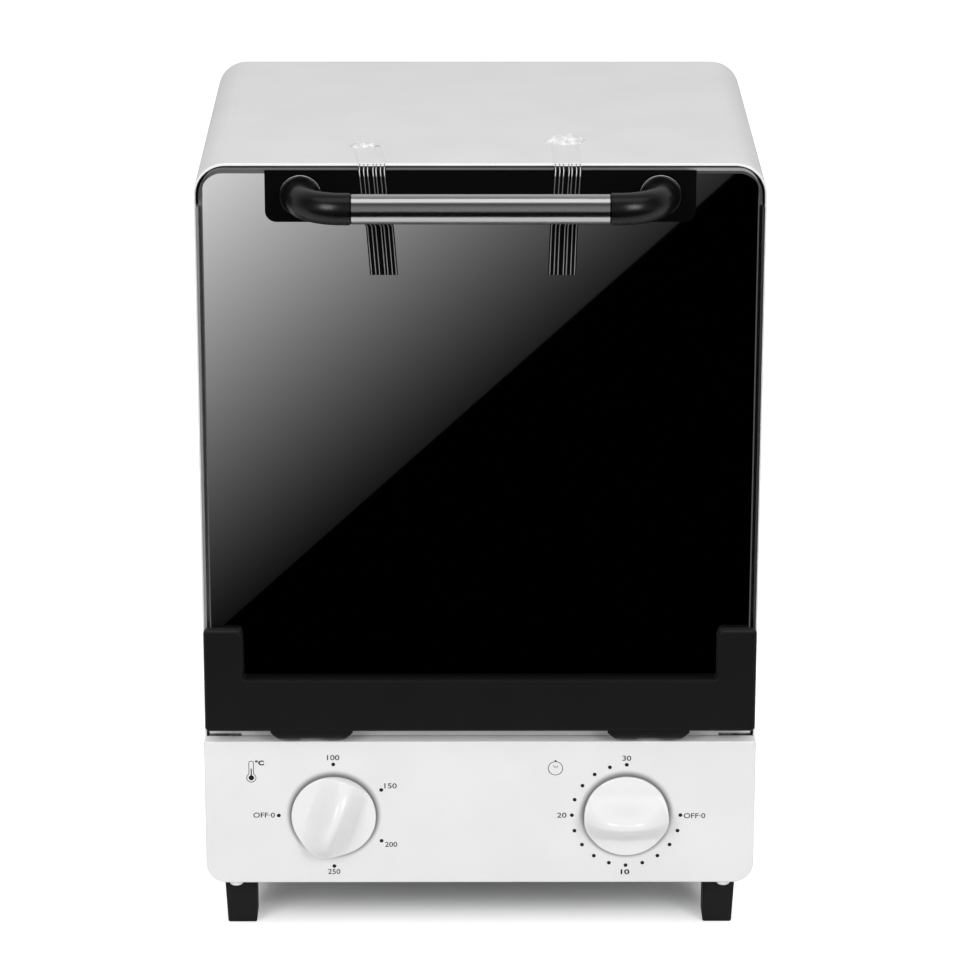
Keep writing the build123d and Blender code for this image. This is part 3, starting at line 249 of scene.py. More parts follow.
# Painted shade: the strip's two ends go dark, in uneven patches.
painted_end_shade = frame_x.size().over(strip_end, strip_end + 0.001)
painted_end_shade = painted_end_shade * (1 - frame_z.over(panel_high.z + 0.0006, panel_high.z + 0.0018))
painted_end_shade = painted_end_shade * (0.55 + bright_zinc.noise(0.004, 2) * 0.8)
# Painted light: below strip_top the strip is paler and less metallic than the frame above.
upright = frame_z.over(strip_top, strip_top + 0.002)
bright_zinc.set(Metallic=0.08 + upright * 0.92)
plating_and_painted_light = bright_zinc.blend(cloud, strip_painted_light, strip_painted_light_cloud)
plating_and_painted_light = bright_zinc.blend(upright, plating_and_painted_light, bright_zinc.blend(cloud, frame_pale, frame_cloudy))
bright_zinc.set(Base_Color=bright_zinc.blend(painted_end_shade, plating_and_painted_light, grey(0.03)))
bright_zinc.set(Roughness=0.26 + cloud * 0.16)
bright_zinc.relief(bright_zinc.noise(0.0015, 2), 0.00002, 0.4, edge=0.0002)
bright_zinc.dress("front_frame")

# ---- Stainless pieces -----------------------------------------------------------
# The tray, wire rack, hinge pins and door stays are bright stainless steel, with fine
# drawing lines along the sheet and the wires.
stainless = Finish("bright_stainless", Metallic=1.0)
drawn = stainless.noise(0.0009, 3, (1, 1, 60))
stainless.set(Base_Color=stainless.blend(drawn, (0.66, 0.66, 0.665), (0.56, 0.56, 0.57)))
stainless.set(Roughness=0.2 + drawn * 0.14)
stainless.relief(drawn, 0.00001, 0.3, edge=0.0002)
stainless.dress("instrument_tray", "wire_rack", "hinge_pin_left", "hinge_pin_right",
                "door_stay_left", "door_stay_right")

# ---- Door inner frame -----------------------------------------------------------
# A thin pressed frame of the same steel behind the glass, with a satin face. Beside
# the glass its left strip is painted pale, a painted reflection, and its right strip is
# painted dark, painted shade.
satin_painted_light, satin_painted_shade = (0.88, 0.88, 0.885), (0.13, 0.13, 0.132)
satin = Finish("satin_stainless", Metallic=0.7)
drawn = satin.noise(0.0009, 3, (1, 1, 60))
# Painted reflection on the left strip and painted shade on the right, split by x.
tone = satin.blend(satin.axes()[0].over(-0.05, 0.05), satin_painted_light, satin_painted_shade)
satin.set(Base_Color=satin.blend(drawn * 0.4, tone, grey(0.10)))
satin.set(Roughness=0.12 + drawn * 0.12)
satin.relief(drawn, 0.00001, 0.3, edge=0.0002)
satin.dress("door_inner_frame")

# ---- Heaters --------------------------------------------------------------------
# Straight tubes of the same steel that cross the chamber near its floor and its
# ceiling, tinted straw and blue where they have glowed.
heater = Finish("heat_tinted_steel", Metallic=1.0, Roughness=0.38)
tint = heater.noise(0.03, 2).over(0.35, 0.65)
heater.set(Base_Color=heater.blend(tint, (0.42, 0.36, 0.27), (0.30, 0.30, 0.34)))
heater.relief(heater.noise(0.0008, 2), 0.00002, 0.4)
heater.dress("upper_heaters", "lower_heaters")

# ---- Screws and shafts ----------------------------------------------------------
# Small zinc-plated pan-head screws; the two under the control panel's bottom edge,
# above the front feet, are painted white with the panel.
bolt = Finish("plated_screw", Metallic=1.0)
turned = bolt.noise(0.0006, 2)
bolt.set(Base_Color=bolt.blend(turned, (0.62, 0.62, 0.63), (0.48, 0.48, 0.50)))
bolt.set(Roughness=0.25 + turned * 0.2)
bolt.relief(turned, 0.00001, 0.4)
bolt.dress("foot_screws", "rear_screws", "control_screws", "hinge_screws", "handle_screws",
           "temperature_shaft", "timer_shaft")

screw_paint = Finish("painted_screw", Roughness=0.35)
chip = screw_paint.noise(0.0012, 2).over(0.62, 0.7)
screw_paint.set(Base_Color=screw_paint.blend(chip, grey(0.78), (0.42, 0.42, 0.43)))
screw_paint.relief(screw_paint.noise(0.0008, 2), 0.00002, 0.4)
screw_paint.dress("panel_screws")

# ---- Door glass -----------------------------------------------------------------
# One sheet of 4 mm toughened glass, coated black and glossy enough to mirror the
# studio floor. Its edges are ground, with a narrow matt facet along the top of its face.
glass_corner = 0.009
glass_top = 0.353
face_depth = 0.00175
facet_width, facet_wider = 0.0006, 0.0009
facet_low = 0.345
highlight_start_x = 0.088
glass_polish, ground_roughness = 0.012, 0.45
glass_black = (0.0002, 0.0002, 0.0003)
edge_dark, edge_painted_highlight = grey(0.024), (0.26, 0.265, 0.265)
facet_dark, facet_painted_highlight = grey(0.022), (0.105, 0.106, 0.106)

glass = Finish("black_coated_glass", IOR=2.1)
glass_low, glass_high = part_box("door_glass")
glass_across, glass_deep, glass_up = glass.axes()
from_middle = (glass_deep - (glass_low.y + glass_high.y) / 2).size()
ground = 1 - from_middle.over(face_depth, face_depth + 0.00015)
topmost = glass_up.over(glass_top, glass_top + 0.0055)
glass_inset = glass.inset(glass_high.x, glass_high.z, glass_corner) - topmost * facet_wider
facet = 1 - glass_inset.over(facet_width, facet_width + 0.00015)
facet = facet * (1 - glass_deep.over(glass_low.y + 0.0001, glass_low.y + 0.0003))
facet = facet * glass_up.over(facet_low, facet_low + 0.005)
# Painted highlights: the ground edge is lighter towards the top right, and the facet lighter
# along the top.
bright = glass_across.over(highlight_start_x, highlight_start_x + 0.007) * topmost
edge_tone = glass.blend(bright, edge_dark, edge_painted_highlight)
facet_tone = glass.blend(topmost, facet_dark, facet_painted_highlight)
glass_tone = glass.blend(ground, glass_black, edge_tone)
glass.set(Base_Color=glass.blend(facet, glass_tone, facet_tone), Metallic=facet)
matt = ground.math("MAXIMUM", facet) * ground_roughness
glass.set(Roughness=glass_polish + matt + glass.noise(0.05, 3) * 0.006)
glass.relief(glass.noise(0.12, 1), 0.00008, 0.12)
glass.dress("door_glass")

# ---- Black painted steel --------------------------------------------------------
# The door's bottom cover, with its two ears and hinge knuckles, and the handle plate
# are steel sheet under a fine black powder coat, with a painted highlight on the ears'
# top edges.
paint_black, paint_worn = (0.0030, 0.0030, 0.0032), (0.0050, 0.0050, 0.0052)
ear_painted_highlight = grey(0.02)
ear_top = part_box("door_bottom_cover")[1].z
paint = Finish("black_powder_coat", IOR=1.45, Specular_IOR_Level=0.2)
grit = paint.noise(0.0007, 2)
# Painted highlight: a paler black along the ears' top edges.
ear_highlight = paint.axes()[2].over(ear_top - 0.0009, ear_top - 0.0004)
black = paint.blend(paint.noise(0.03, 3), paint_black, paint_worn)
paint.set(Base_Color=paint.blend(ear_highlight, black, ear_painted_highlight))
paint.set(Roughness=0.42 + grit * 0.14)
paint.relief(grit, 0.00003, 0.4, edge=0.0006)
paint.dress("door_bottom_cover")

# The handle plate is given a darker, flatter black than the door's cover.
flat_paint = Finish("flat_black_coat", IOR=1.4, Specular_IOR_Level=0.08)
grit = flat_paint.noise(0.0007, 2)
plate_black, plate_worn = (0.0008, 0.0008, 0.0009), (0.0016, 0.0016, 0.0017)
flat_paint.set(Base_Color=flat_paint.blend(flat_paint.noise(0.02, 3), plate_black, plate_worn))
flat_paint.set(Roughness=0.5 + grit * 0.14)
flat_paint.relief(grit, 0.00003, 0.4, edge=0.0003)
flat_paint.dress("handle_plate")

# ---- Handle ---------------------------------------------------------------------
# Two moulded black elbows stand on the plate and hold a stainless tube, which is
# brushed along its length. A painted highlight, a pale arc, runs round the top of each
# elbow's foot.
post_side, post_height = 0.078, 0.349
painted_arc_inner, painted_arc_outer = 0.00888, 0.0092
painted_arc_front, painted_arc_back = -0.0939, -0.0929
elbow_black, elbow_soft = (0.0014, 0.0014, 0.0015), (0.0030, 0.0030, 0.0032)
moulded = Finish("black_moulding", IOR=1.5, Specular_IOR_Level=0.38)
grain = moulded.noise(0.0006, 3)
elbow_x, elbow_y, elbow_z = moulded.axes()
post_across, post_up = elbow_x.size() - post_side, elbow_z - post_height
from_post = (post_across * post_across + post_up * post_up) ** 0.5
# Painted highlight: a pale arc on the upper rim of each elbow's foot.
painted_arc = from_post.over(painted_arc_inner, painted_arc_inner + 0.00005)
painted_arc = painted_arc * (1 - from_post.over(painted_arc_outer, painted_arc_outer + 0.0002))
painted_arc = painted_arc * elbow_y.over(painted_arc_front, painted_arc_front + 0.0002)
painted_arc = painted_arc * (1 - elbow_y.over(painted_arc_back, painted_arc_back + 0.0003)) * post_up.over(0.001, 0.004)
black = moulded.blend(moulded.noise(0.012, 2), elbow_black, elbow_soft)
moulded.set(Base_Color=moulded.blend(painted_arc, black, grey(0.75)))
moulded.set(Roughness=0.24 + grain * 0.09)
moulded.relief(grain, 0.00002, 0.4)
moulded.dress("handle_elbow_left", "handle_elbow_right", "thermostat_body", "timer_body")

brushed = Finish("brushed_tube_steel", Metallic=1.0)
line = brushed.noise(0.00035, 3, (70, 1, 1))
tube_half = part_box("handle_tube")[1].x
tube_end = brushed.axes()[0].size().over(tube_half - 0.0009, tube_half - 0.0006)
steel = brushed.blend(line, grey(0.70), (0.58, 0.58, 0.585))
brushed.set(Base_Color=brushed.blend(tube_end, steel, grey(0.03)))
brushed.set(Roughness=0.13 + line * 0.10)
brushed.relief(line, 0.00001, 0.35, edge=0.0003)
brushed.dress("handle_tube")

# ---- Feet -----------------------------------------------------------------------
# Four short moulded feet, a hard black plastic with a fine spark-eroded grain.
foot = Finish("black_foot_plastic", IOR=1.45, Specular_IOR_Level=0.25)
pore = foot.noise(0.0005, 2)
foot_black, foot_grey = (0.0055, 0.0055, 0.0057), (0.0085, 0.0085, 0.0088)
foot.set(Base_Color=foot.blend(foot.noise(0.01, 2), foot_black, foot_grey))
foot.set(Roughness=0.5 + pore * 0.15)
foot.relief(pore, 0.00003, 0.5, edge=0.0005)
foot.dress("foot_front_left", "foot_front_right", "foot_rear_left", "foot_rear_right")

# ---- Rubber, ceramic and copper -------------------------------------------------
# The cord bush, the door's gasket and the leads' covers are black rubber; the heater
# bushes and terminal block are glazed ceramic; the sensing tube is drawn copper.
rubber = Finish("black_rubber", Roughness=0.7)
bloom = rubber.noise(0.004, 3)
rubber.set(Base_Color=rubber.blend(bloom, grey(0.012), (0.028, 0.028, 0.027)))
rubber.relief(rubber.noise(0.0006, 2), 0.00003, 0.5)
rubber.dress("cord_bush", "glass_gasket", "supply_lead", "link_lead")

ceramic = Finish("glazed_ceramic", IOR=1.5)
speck = ceramic.noise(0.001, 2)
ceramic.set(Base_Color=ceramic.blend(speck, (0.74, 0.72, 0.67), (0.66, 0.64, 0.59)))
ceramic.set(Roughness=0.35 + speck * 0.2)
ceramic.relief(speck, 0.00003, 0.4)
ceramic.dress("heater_insulators", "terminal_block")

copper = Finish("drawn_copper", Metallic=1.0)
tarnish = copper.noise(0.008, 3)
copper.set(Base_Color=copper.blend(tarnish, (0.78, 0.40, 0.27), (0.50, 0.27, 0.18)))
copper.set(Roughness=0.28 + tarnish * 0.2)
copper.relief(copper.noise(0.0006, 2), 0.00002, 0.4)
copper.dress("capillary_and_bulb")

# ---- Knobs ----------------------------------------------------------------------
# Two glossy white mouldings: a thin disc with a bar grip that swells out of it, and a
# shallow hollow behind, round a hub that takes the shaft.


def skin(name, points, faces, finish, body, smooth=True):
    """A mesh piece from rows of points and faces; it rides on a body and has a slot."""
    mesh = bpy.data.meshes.new(name)
    rows = [[int(i) for i in face] for face in faces]
    mesh.from_pydata(np.asarray(points, float).tolist(), [], rows)
    mesh.materials.append(finish.material)
    if smooth:
        mesh.shade_smooth()
    else:
        mesh.shade_flat()
    piece = bpy.data.objects.new(name, mesh)
    bpy.context.scene.collection.objects.link(piece)
    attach(piece, body)
    return piece


def lattice(rows, columns, turned=False):
    """The quads of a grid of points whose columns close on themselves."""
    a, b = np.meshgrid(np.arange(rows - 1), np.arange(columns), indexing="ij")
    c = (b + 1) % columns
    corners = [a * columns + b, a * columns + c, (a + 1) * columns + c, (a + 1) * columns + b]
    quads = np.stack(corners, -1).reshape(-1, 4)
    return quads[:, ::-1] if turned else quads


def ease(share):
    """A smooth step: 3s^2 - 2s^3, held to 0 and 1 outside."""
    share = np.clip(share, 0, 1)
    return share * share * (3 - 2 * share)


knob_radius = 0.0192
knob_disc = 0.0014
knob_dome = 0.0005
knob_height = 0.0155
knob_rim = 0.0006
knob_fall, crown_power = 0.70, 2.2
bar_flat, bar_foot = 0.0006, 0.0122
hollow_wall, hollow_depth = 0.0178, 0.0005
hub_radius, socket_radius, socket_depth = 0.0066, 0.0031, 0.0080
knob_columns, knob_rings = 256, 96


def knob_points():
    """A knob standing on its back at the origin, its bar along +Y.

    A point of the face is (r, angle). Its height is the disc's and a low dome's, plus
    the bar's height times an ease of the distance across the bar, times a crown that
    is 1 less a share of (r / radius) to a power. A quarter round, the side, the
    hollow back and the shaft's socket follow as circles.
    """
    angle = np.linspace(0, 2 * np.pi, knob_columns, endpoint=False)
    radius = (knob_radius - knob_rim) * np.linspace(0.004, 1, knob_rings)[:, None]
    across = np.abs(radius * np.cos(angle))
    crown = 1 - knob_fall * (radius / knob_radius) ** crown_power
    rise = 1 - ease((across - bar_flat) / (bar_foot - bar_flat))
    dome = knob_dome * (1 - (radius / knob_radius) ** 2)
    height = knob_disc + dome + (knob_height - knob_disc - knob_dome) * rise * crown
    rows = [np.stack([radius * np.cos(angle), radius * np.sin(angle), height], -1)]
    turn = np.linspace(0, np.pi / 2, 9)[1:, None]
    edge = height[-1] - knob_rim
    out = knob_radius - knob_rim * (1 - np.sin(turn))
    round_edge = edge + knob_rim * np.cos(turn) + 0 * out
    rows.append(np.stack([out * np.cos(angle), out * np.sin(angle), round_edge], -1))
    back = [(knob_radius, 0.0006), (knob_radius, 0.0002), (knob_radius - 0.0002, 0),
            (hollow_wall + 0.0002, 0), (hollow_wall, 0.0002), (hollow_wall, hollow_depth),
            (hub_radius, hollow_depth), (hub_radius, 0.0002), (hub_radius - 0.0002, 0),
            (socket_radius + 0.0003, 0), (socket_radius, 0.0003), (socket_radius, socket_depth),
            (0.0001, socket_depth)]
    for r, z in back:
        ring = np.stack([r * np.cos(angle), r * np.sin(angle), np.full(knob_columns, z)], -1)
        rows.append(ring[None])
    return np.concatenate(rows)


def knob(name, pointer):
    """The knob in its place: its bar turned pointer degrees clockwise from 12 o'clock."""
    grid = knob_points()
    count = len(grid)
    low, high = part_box(name)
    centre = (low + high) / 2
    sideways, up, out = grid.reshape(-1, 3).T
    c, s = math.cos(math.radians(pointer)), math.sin(math.radians(pointer))
    across, rise = sideways * c + up * s, up * c - sideways * s
    points = np.stack([centre.x + across, high.y - out, centre.z + rise], -1)
    first = len(points)
    middles = [points[:knob_columns].mean(0), points[-knob_columns:].mean(0)]
    points = np.concatenate([points, middles])
    quads = lattice(count, knob_columns, turned=True)
    k = np.arange(knob_columns)
    end = (count - 1) * knob_columns
    caps = [(first, (i + 1) % knob_columns, i) for i in k]
    caps += [(first + 1, end + i, end + (i + 1) % knob_columns) for i in k]
    piece = skin(name + "_moulding", points, [*quads, *caps], knob_plastic, name)
    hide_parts(name)


knob_plastic = Finish("white_knob_plastic", IOR=1.5, Coat_Weight=0.25, Coat_Roughness=0.08)
swirl = knob_plastic.noise(0.015, 2)
knob_plastic.set(Base_Color=knob_plastic.blend(swirl, (0.84, 0.84, 0.845), (0.815, 0.815, 0.82)))
knob_plastic.set(Roughness=0.2 + swirl * 0.06)
knob_plastic.relief(knob_plastic.noise(0.0015, 2), 0.00001, 0.3)
temperature_pointer = 22
timer_pointer = 90
knob("temperature_knob", temperature_pointer)
knob("timer_knob", timer_pointer)

# ---- Printing on the control panel ----------------------------------------------
# Plain black pad printing: a dotted scale with numbers round each knob, and a small
# thermometer and clock for what each knob sets. The ink stands a hair off the coat.
ink = Finish("black_print_ink", Roughness=0.6, Specular_IOR_Level=0.2)
fade = ink.noise(0.002, 2)
ink.set(Base_Color=ink.blend(fade, grey(0.003), grey(0.012)))
ink.relief(fade, 0.00001, 0.3)
ink_front, ink_back = panel_low.y - 0.00003, panel_low.y + 0.00001
knob_low, knob_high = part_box("timer_knob")
dial_x, dial_z = (knob_low.x + knob_high.x) / 2, (knob_low.z + knob_high.z) / 2
dot_radius = 0.00088
figure_height = 0.0025
plain, bold, boldest = 0.008, 0.028, 0.045


def stamp(outline, inner=None):
    """A flat closed outline given the ink's depth: (points, faces) of its prism.

    With an inner outline of as many points the shape is the band between the two.
    """
    outline = np.asarray(outline, float)
    n = len(outline)
    k = np.arange(n)
    j = (k + 1) % n
    rings = [outline] if inner is None else [outline, np.asarray(inner, float)]
    layers = [np.stack([ring[:, 0], np.full(n, y), ring[:, 1]], -1)
              for y in (ink_front, ink_back) for ring in rings]
    if inner is None:
        faces = [list(k), list(k[::-1] + n)]
        faces += [(j[i], k[i], k[i] + n, j[i] + n) for i in k]
    else:
        faces = [(k[i], j[i], j[i] + n, k[i] + n) for i in k]
        faces += [(j[i] + 2 * n, k[i] + 2 * n, k[i] + 3 * n, j[i] + 3 * n) for i in k]
        faces += [(j[i], k[i], k[i] + 2 * n, j[i] + 2 * n) for i in k]
        faces += [(k[i] + n, j[i] + n, j[i] + 3 * n, k[i] + 3 * n) for i in k]
    return np.concatenate(layers), faces


def circle(x, z, radius, count=28):
    """Points of a circle, anticlockwise as seen from the front."""
    turn = np.linspace(0, 2 * np.pi, count, endpoint=False)
    return np.stack([x + radius * np.cos(turn), z + radius * np.sin(turn)], -1)


def stroke(points, width):
    """The outline of a line of that width along points: each point goes half the
    width to both sides, square to the line there."""
    path = np.asarray(points, float)
    along = np.gradient(path, axis=0)
    along /= np.linalg.norm(along, axis=1)[:, None]
    side = np.stack([-along[:, 1], along[:, 0]], -1) * width / 2
    return np.concatenate([path - side, (path + side)[::-1]])


def lettering(words, x, z, width, weight):
    """Plain figures fitted to a box about (x, z), as points and faces with depth;
    their strokes swell by weight."""
    curve = bpy.data.curves.new("figures", "FONT")
    curve.body = words
    curve.extrude = 0.5
    curve.offset = weight
    curve.resolution_u = 4
    holder = bpy.data.objects.new("figures", curve)
    mesh = bpy.data.meshes.new_from_object(holder)
    points = np.array([v.co for v in mesh.vertices])
    faces = [list(p.vertices) for p in mesh.polygons]
    bpy.data.objects.remove(holder)
    bpy.data.curves.remove(curve)
    bpy.data.meshes.remove(mesh)
    low, high = points[:, :2].min(0), points[:, :2].max(0)
    flat = (points[:, :2] - (low + high) / 2) / (high - low) * (width, figure_height) + (x, z)
    depth = np.where(points[:, 2] > 0, ink_front, ink_back)
    return np.stack([flat[:, 0], depth, flat[:, 1]], -1), faces


def gathered(name, parts, finish, body, smooth=True):
    """Several parts, each its points and faces, as one piece."""
    points, faces, first = [], [], 0
    for some, sides in parts:
        points.append(some)
        faces += [[int(i) + first for i in side] for side in sides]
        first += len(some)
    return skin(name, np.concatenate(points), faces, finish, body, smooth)


def printed(name, marks):
    """All the marks of one scale as a single piece of print on the cabinet."""
    return gathered(name, marks, ink, "cabinet", smooth=False)


def scale(name, x, radius, degrees, figures):
    """Dots on a circle round a knob, at x plus the radius times the sine of an angle
    clockwise from 12 o'clock and dial_z plus the radius times its cosine; then figures."""
    turns = [math.radians(d) for d in degrees]
    dots = [circle(x + radius * math.sin(t), dial_z + radius * math.cos(t), dot_radius)
            for t in turns]
    printed(name, [stamp(dot) for dot in dots] + [lettering(*figure) for figure in figures])


scale("temperature_scale_print", -dial_x, 0.0250, (-90, 0, 60, 120, 180), [
    ("100", -0.0665, 0.0866, 0.0056, plain), ("150", -0.0406, 0.0728, 0.0056, plain),
    ("200", -0.0405, 0.0440, 0.0056, plain), ("250", -0.0666, 0.0306, 0.0056, plain),
    ("OFF·0", -0.0982, 0.0585, 0.0098, plain), ("°C", -0.0999, 0.0841, 0.0041, boldest)])
scale("timer_scale_print", dial_x, 0.0247, range(90, 361, 18), [
    ("30", 0.0665, 0.0862, 0.0040, plain), ("20", 0.0372, 0.0583, 0.0043, plain),
    ("10", 0.0663, 0.0303, 0.0040, bold), ("OFF·0", 0.0976, 0.0580, 0.0098, plain)])

# A thermometer and a clock say what each knob sets.
thermometer_x, thermometer_bulb_z = -0.1037, 0.0768
stem_half, stem_top, bulb_radius, line_width = 0.00105, 0.0071, 0.0021, 0.0003


def thermometer(swell):
    """The outline of a stem with a round top on a round bulb, swollen by a distance."""
    half, ball = stem_half + swell, bulb_radius + swell
    top = np.linspace(0, np.pi, 13)
    meet = math.asin(half / ball)
    bulb = np.linspace(np.pi / 2 + meet, 5 * np.pi / 2 - meet, 33)
    cap = np.stack([half * np.cos(top), stem_top + half * np.sin(top)], -1)
    ball_points = np.stack([ball * np.cos(bulb), ball * np.sin(bulb)], -1)
    return np.concatenate([cap, ball_points]) + (thermometer_x, thermometer_bulb_z)


column = [(thermometer_x, thermometer_bulb_z + rise) for rise in (0.001, 0.0045)]
printed("thermometer_mark", [
    stamp(thermometer(line_width / 2), thermometer(-line_width / 2)),
    stamp(circle(thermometer_x, thermometer_bulb_z, 0.00125)), stamp(stroke(column, 0.0005))])

clock_x, clock_z, clock_radius = 0.0342, 0.0813, 0.0034
case = [circle(clock_x, clock_z, r, 48) for r in (clock_radius, clock_radius - line_width)]
hands = [(clock_x - 0.0011, clock_z + 0.0014), (clock_x, clock_z + 0.0002),
         (clock_x + 0.0011, clock_z + 0.0012)]
button = [(clock_x, clock_z + 0.0031), (clock_x, clock_z + 0.0040)]
printed("clock_mark", [
    stamp(*case), stamp(stroke(hands, line_width)), stamp(stroke(button, 0.0007))])

# ---- Packing tape ---------------------------------------------------------------
# Two strips of clear tape with glass yarns hold the door for transport. Each runs
# from the roof over the hem and down the handle plate to the glass, stuck to all of
# them, and is cut at the door's upper edge so that the door opens.
film_rise, yarn_radius, tape_half, tape_gap = 0.00012, 0.00021, 0.0058, 0.00003
yarn_places = (-0.93, -0.61, -0.32, 0.08, 0.31, 0.64, 0.93)
plate_foot, fold_start, tape_end = 0.336, 0.3568, 0.3129
dark_film = Finish("clear_tape_on_glass", Roughness=0.6, IOR=1.3, Specular_IOR_Level=0.1)
haze = dark_film.noise(0.002, 2)
dark_film.set(Base_Color=dark_film.blend(haze, grey(0.0008), grey(0.002)))
dark_film.relief(haze, 0.00002, 0.4)
pale_film = Finish("clear_tape_on_enamel", IOR=1.45)
haze = pale_film.noise(0.0015, 2)
pale_film.set(Base_Color=pale_film.blend(haze, grey(0.80), (0.78, 0.78, 0.785)))
pale_film.set(Roughness=0.45 + haze * 0.15)
pale_film.relief(haze, 0.00004, 0.5)
yarn = Finish("glass_yarn", Roughness=0.5)
ply = yarn.noise(0.0004, 2, (1, 1, 6))
yarn_z = yarn.axes()[2]
on_glass = 1 - yarn_z.over(plate_foot, plate_foot + 0.0015)
folded = yarn_z.over(fold_start, fold_start + 0.0014)
dull = yarn.blend(ply, grey(0.15), grey(0.09))
clear = yarn.blend(ply, grey(0.27), grey(0.18))
yarn.set(Base_Color=yarn.blend(on_glass, yarn.blend(folded, dull, grey(0.75)), clear))
yarn.relief(ply, 0.00005, 0.5)
white_yarn = Finish("glass_yarn_on_enamel", Roughness=0.4)
ply = white_yarn.noise(0.0004, 2, (1, 6, 1))
over_hem = 1 - white_yarn.axes()[1].over(cover_low.y + 0.0002, cover_low.y + 0.0008)
flat_tone = white_yarn.blend(ply, grey(0.80), grey(0.78))
white_yarn.set(Base_Color=white_yarn.blend(over_hem, flat_tone, grey(0.03)))
white_yarn.relief(ply, 0.00002, 0.3)


def laid(path):
    """Points along a path of (x, y, z) with the outward normals of its fall, which
    are square to it in the Y-Z plane: (points, normals), refined to even steps."""
    path = np.asarray(path, float)
    run = np.concatenate([[0], np.cumsum(np.linalg.norm(np.diff(path, axis=0), axis=1))])
    steps = np.linspace(0, run[-1], int(run[-1] / 0.0006) + 2)
    points = np.stack([np.interp(steps, run, path[:, i]) for i in range(3)], -1)
    along = np.gradient(points, axis=0)
    normal = np.stack([0 * steps, along[:, 2], -along[:, 1]], -1)
    return points, normal / np.linalg.norm(normal, axis=1)[:, None]


def swept(path, section):
    """A closed section of (across, outward) points carried along a laid path, with
    both ends capped: (points, faces)."""
    points, normal = laid(path)
    section = np.asarray(section, float)
    n = len(section)
    across = section[:, 0, None] * (1, 0, 0)
    skinned = points[:, None] + across + normal[:, None] * section[:, 1, None]
    last = (len(points) - 1) * n
    ends = [list(range(n))[::-1], [last + i for i in range(n)]]
    return skinned.reshape(-1, 3), [*lattice(len(points), n).tolist(), *ends]


def tape(side, path, body, film, thread):
    """One strip: its film, and seven yarns that run along it. On the roof both are
    pressed flatter."""
    on_roof = body == "cabinet"
    where = "roof" if on_roof else "door"
    rise = film_rise * (0.4 if on_roof else 1.0)
    thick = yarn_radius * (0.7 if on_roof else 1.0)
    bulge = 0.2 if on_roof else 0.8
    edge = tape_half + 0.0003
    flat = [(-edge, 0), (edge, 0), (edge - 0.0001, rise), (-edge + 0.0001, rise)]
    gathered(f"tape_film_{where}_{side}", [swept(path, flat)], film, body)
    turn = np.linspace(0, 2 * np.pi, 9)[:-1]
    round_yarn = np.stack([thick * np.cos(turn), rise + thick * bulge * np.sin(turn)], -1)
    threads = [swept(path, round_yarn + (place * tape_half, 0)) for place in yarn_places]
    gathered(f"tape_yarns_{where}_{side}", threads, thread, body)


plate_low, plate_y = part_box("handle_plate")[0].z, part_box("handle_plate")[0].y - tape_gap
glass_y, tape_top = glass_low.y - tape_gap, glass_high.z + tape_gap
roof_z, hem_y = cover_high.z + tape_gap, cover_low.y
strips = {"left": (-0.0470, -0.0461, -0.0437, -0.0420, -0.0502, -0.0530),
          "right": (0.0379, 0.0373, 0.0363, 0.0356, 0.0374, -0.0455)}
for side, (top_x, mid_x, low_x, end_x, torn_x, torn_y) in strips.items():
    tape(side, [(top_x, glass_high.y - 0.0002, tape_top), (top_x, plate_y + 0.0003, tape_top),
                (top_x, plate_y, tape_top - 0.0003), (mid_x, plate_y, 0.350),
                ((mid_x + low_x) / 2, plate_y, plate_low - 0.0002),
                (low_x, glass_y, plate_low - 0.0022), (end_x, glass_y, tape_end)],
         "door", dark_film, yarn)
    tape(side, [(torn_x, torn_y, roof_z), (top_x, hem_y + 0.0009, roof_z),
                (top_x, hem_y + 0.0001, roof_z - 0.0004),
                (top_x, hem_y - 0.0022, roof_z - 0.0006)],
         "cabinet", pale_film, white_yarn)

# ---- Torn tape ends -------------------------------------------------------------
# The upper end of each strip was torn off by hand and lies crumpled on the roof: the
# clear film and its yarns in sharp folds.
torn_rows, torn_columns = 33, 21
crumple = Finish("crumpled_tape_end", Roughness=0.14)
crease = crumple.noise(0.0026, 2)
crumple.set(Base_Color=crumple.blend(crease.over(0.40, 0.60), grey(0.83), grey(0.64)))
crumple.relief(crease, 0.0004, 0.5)


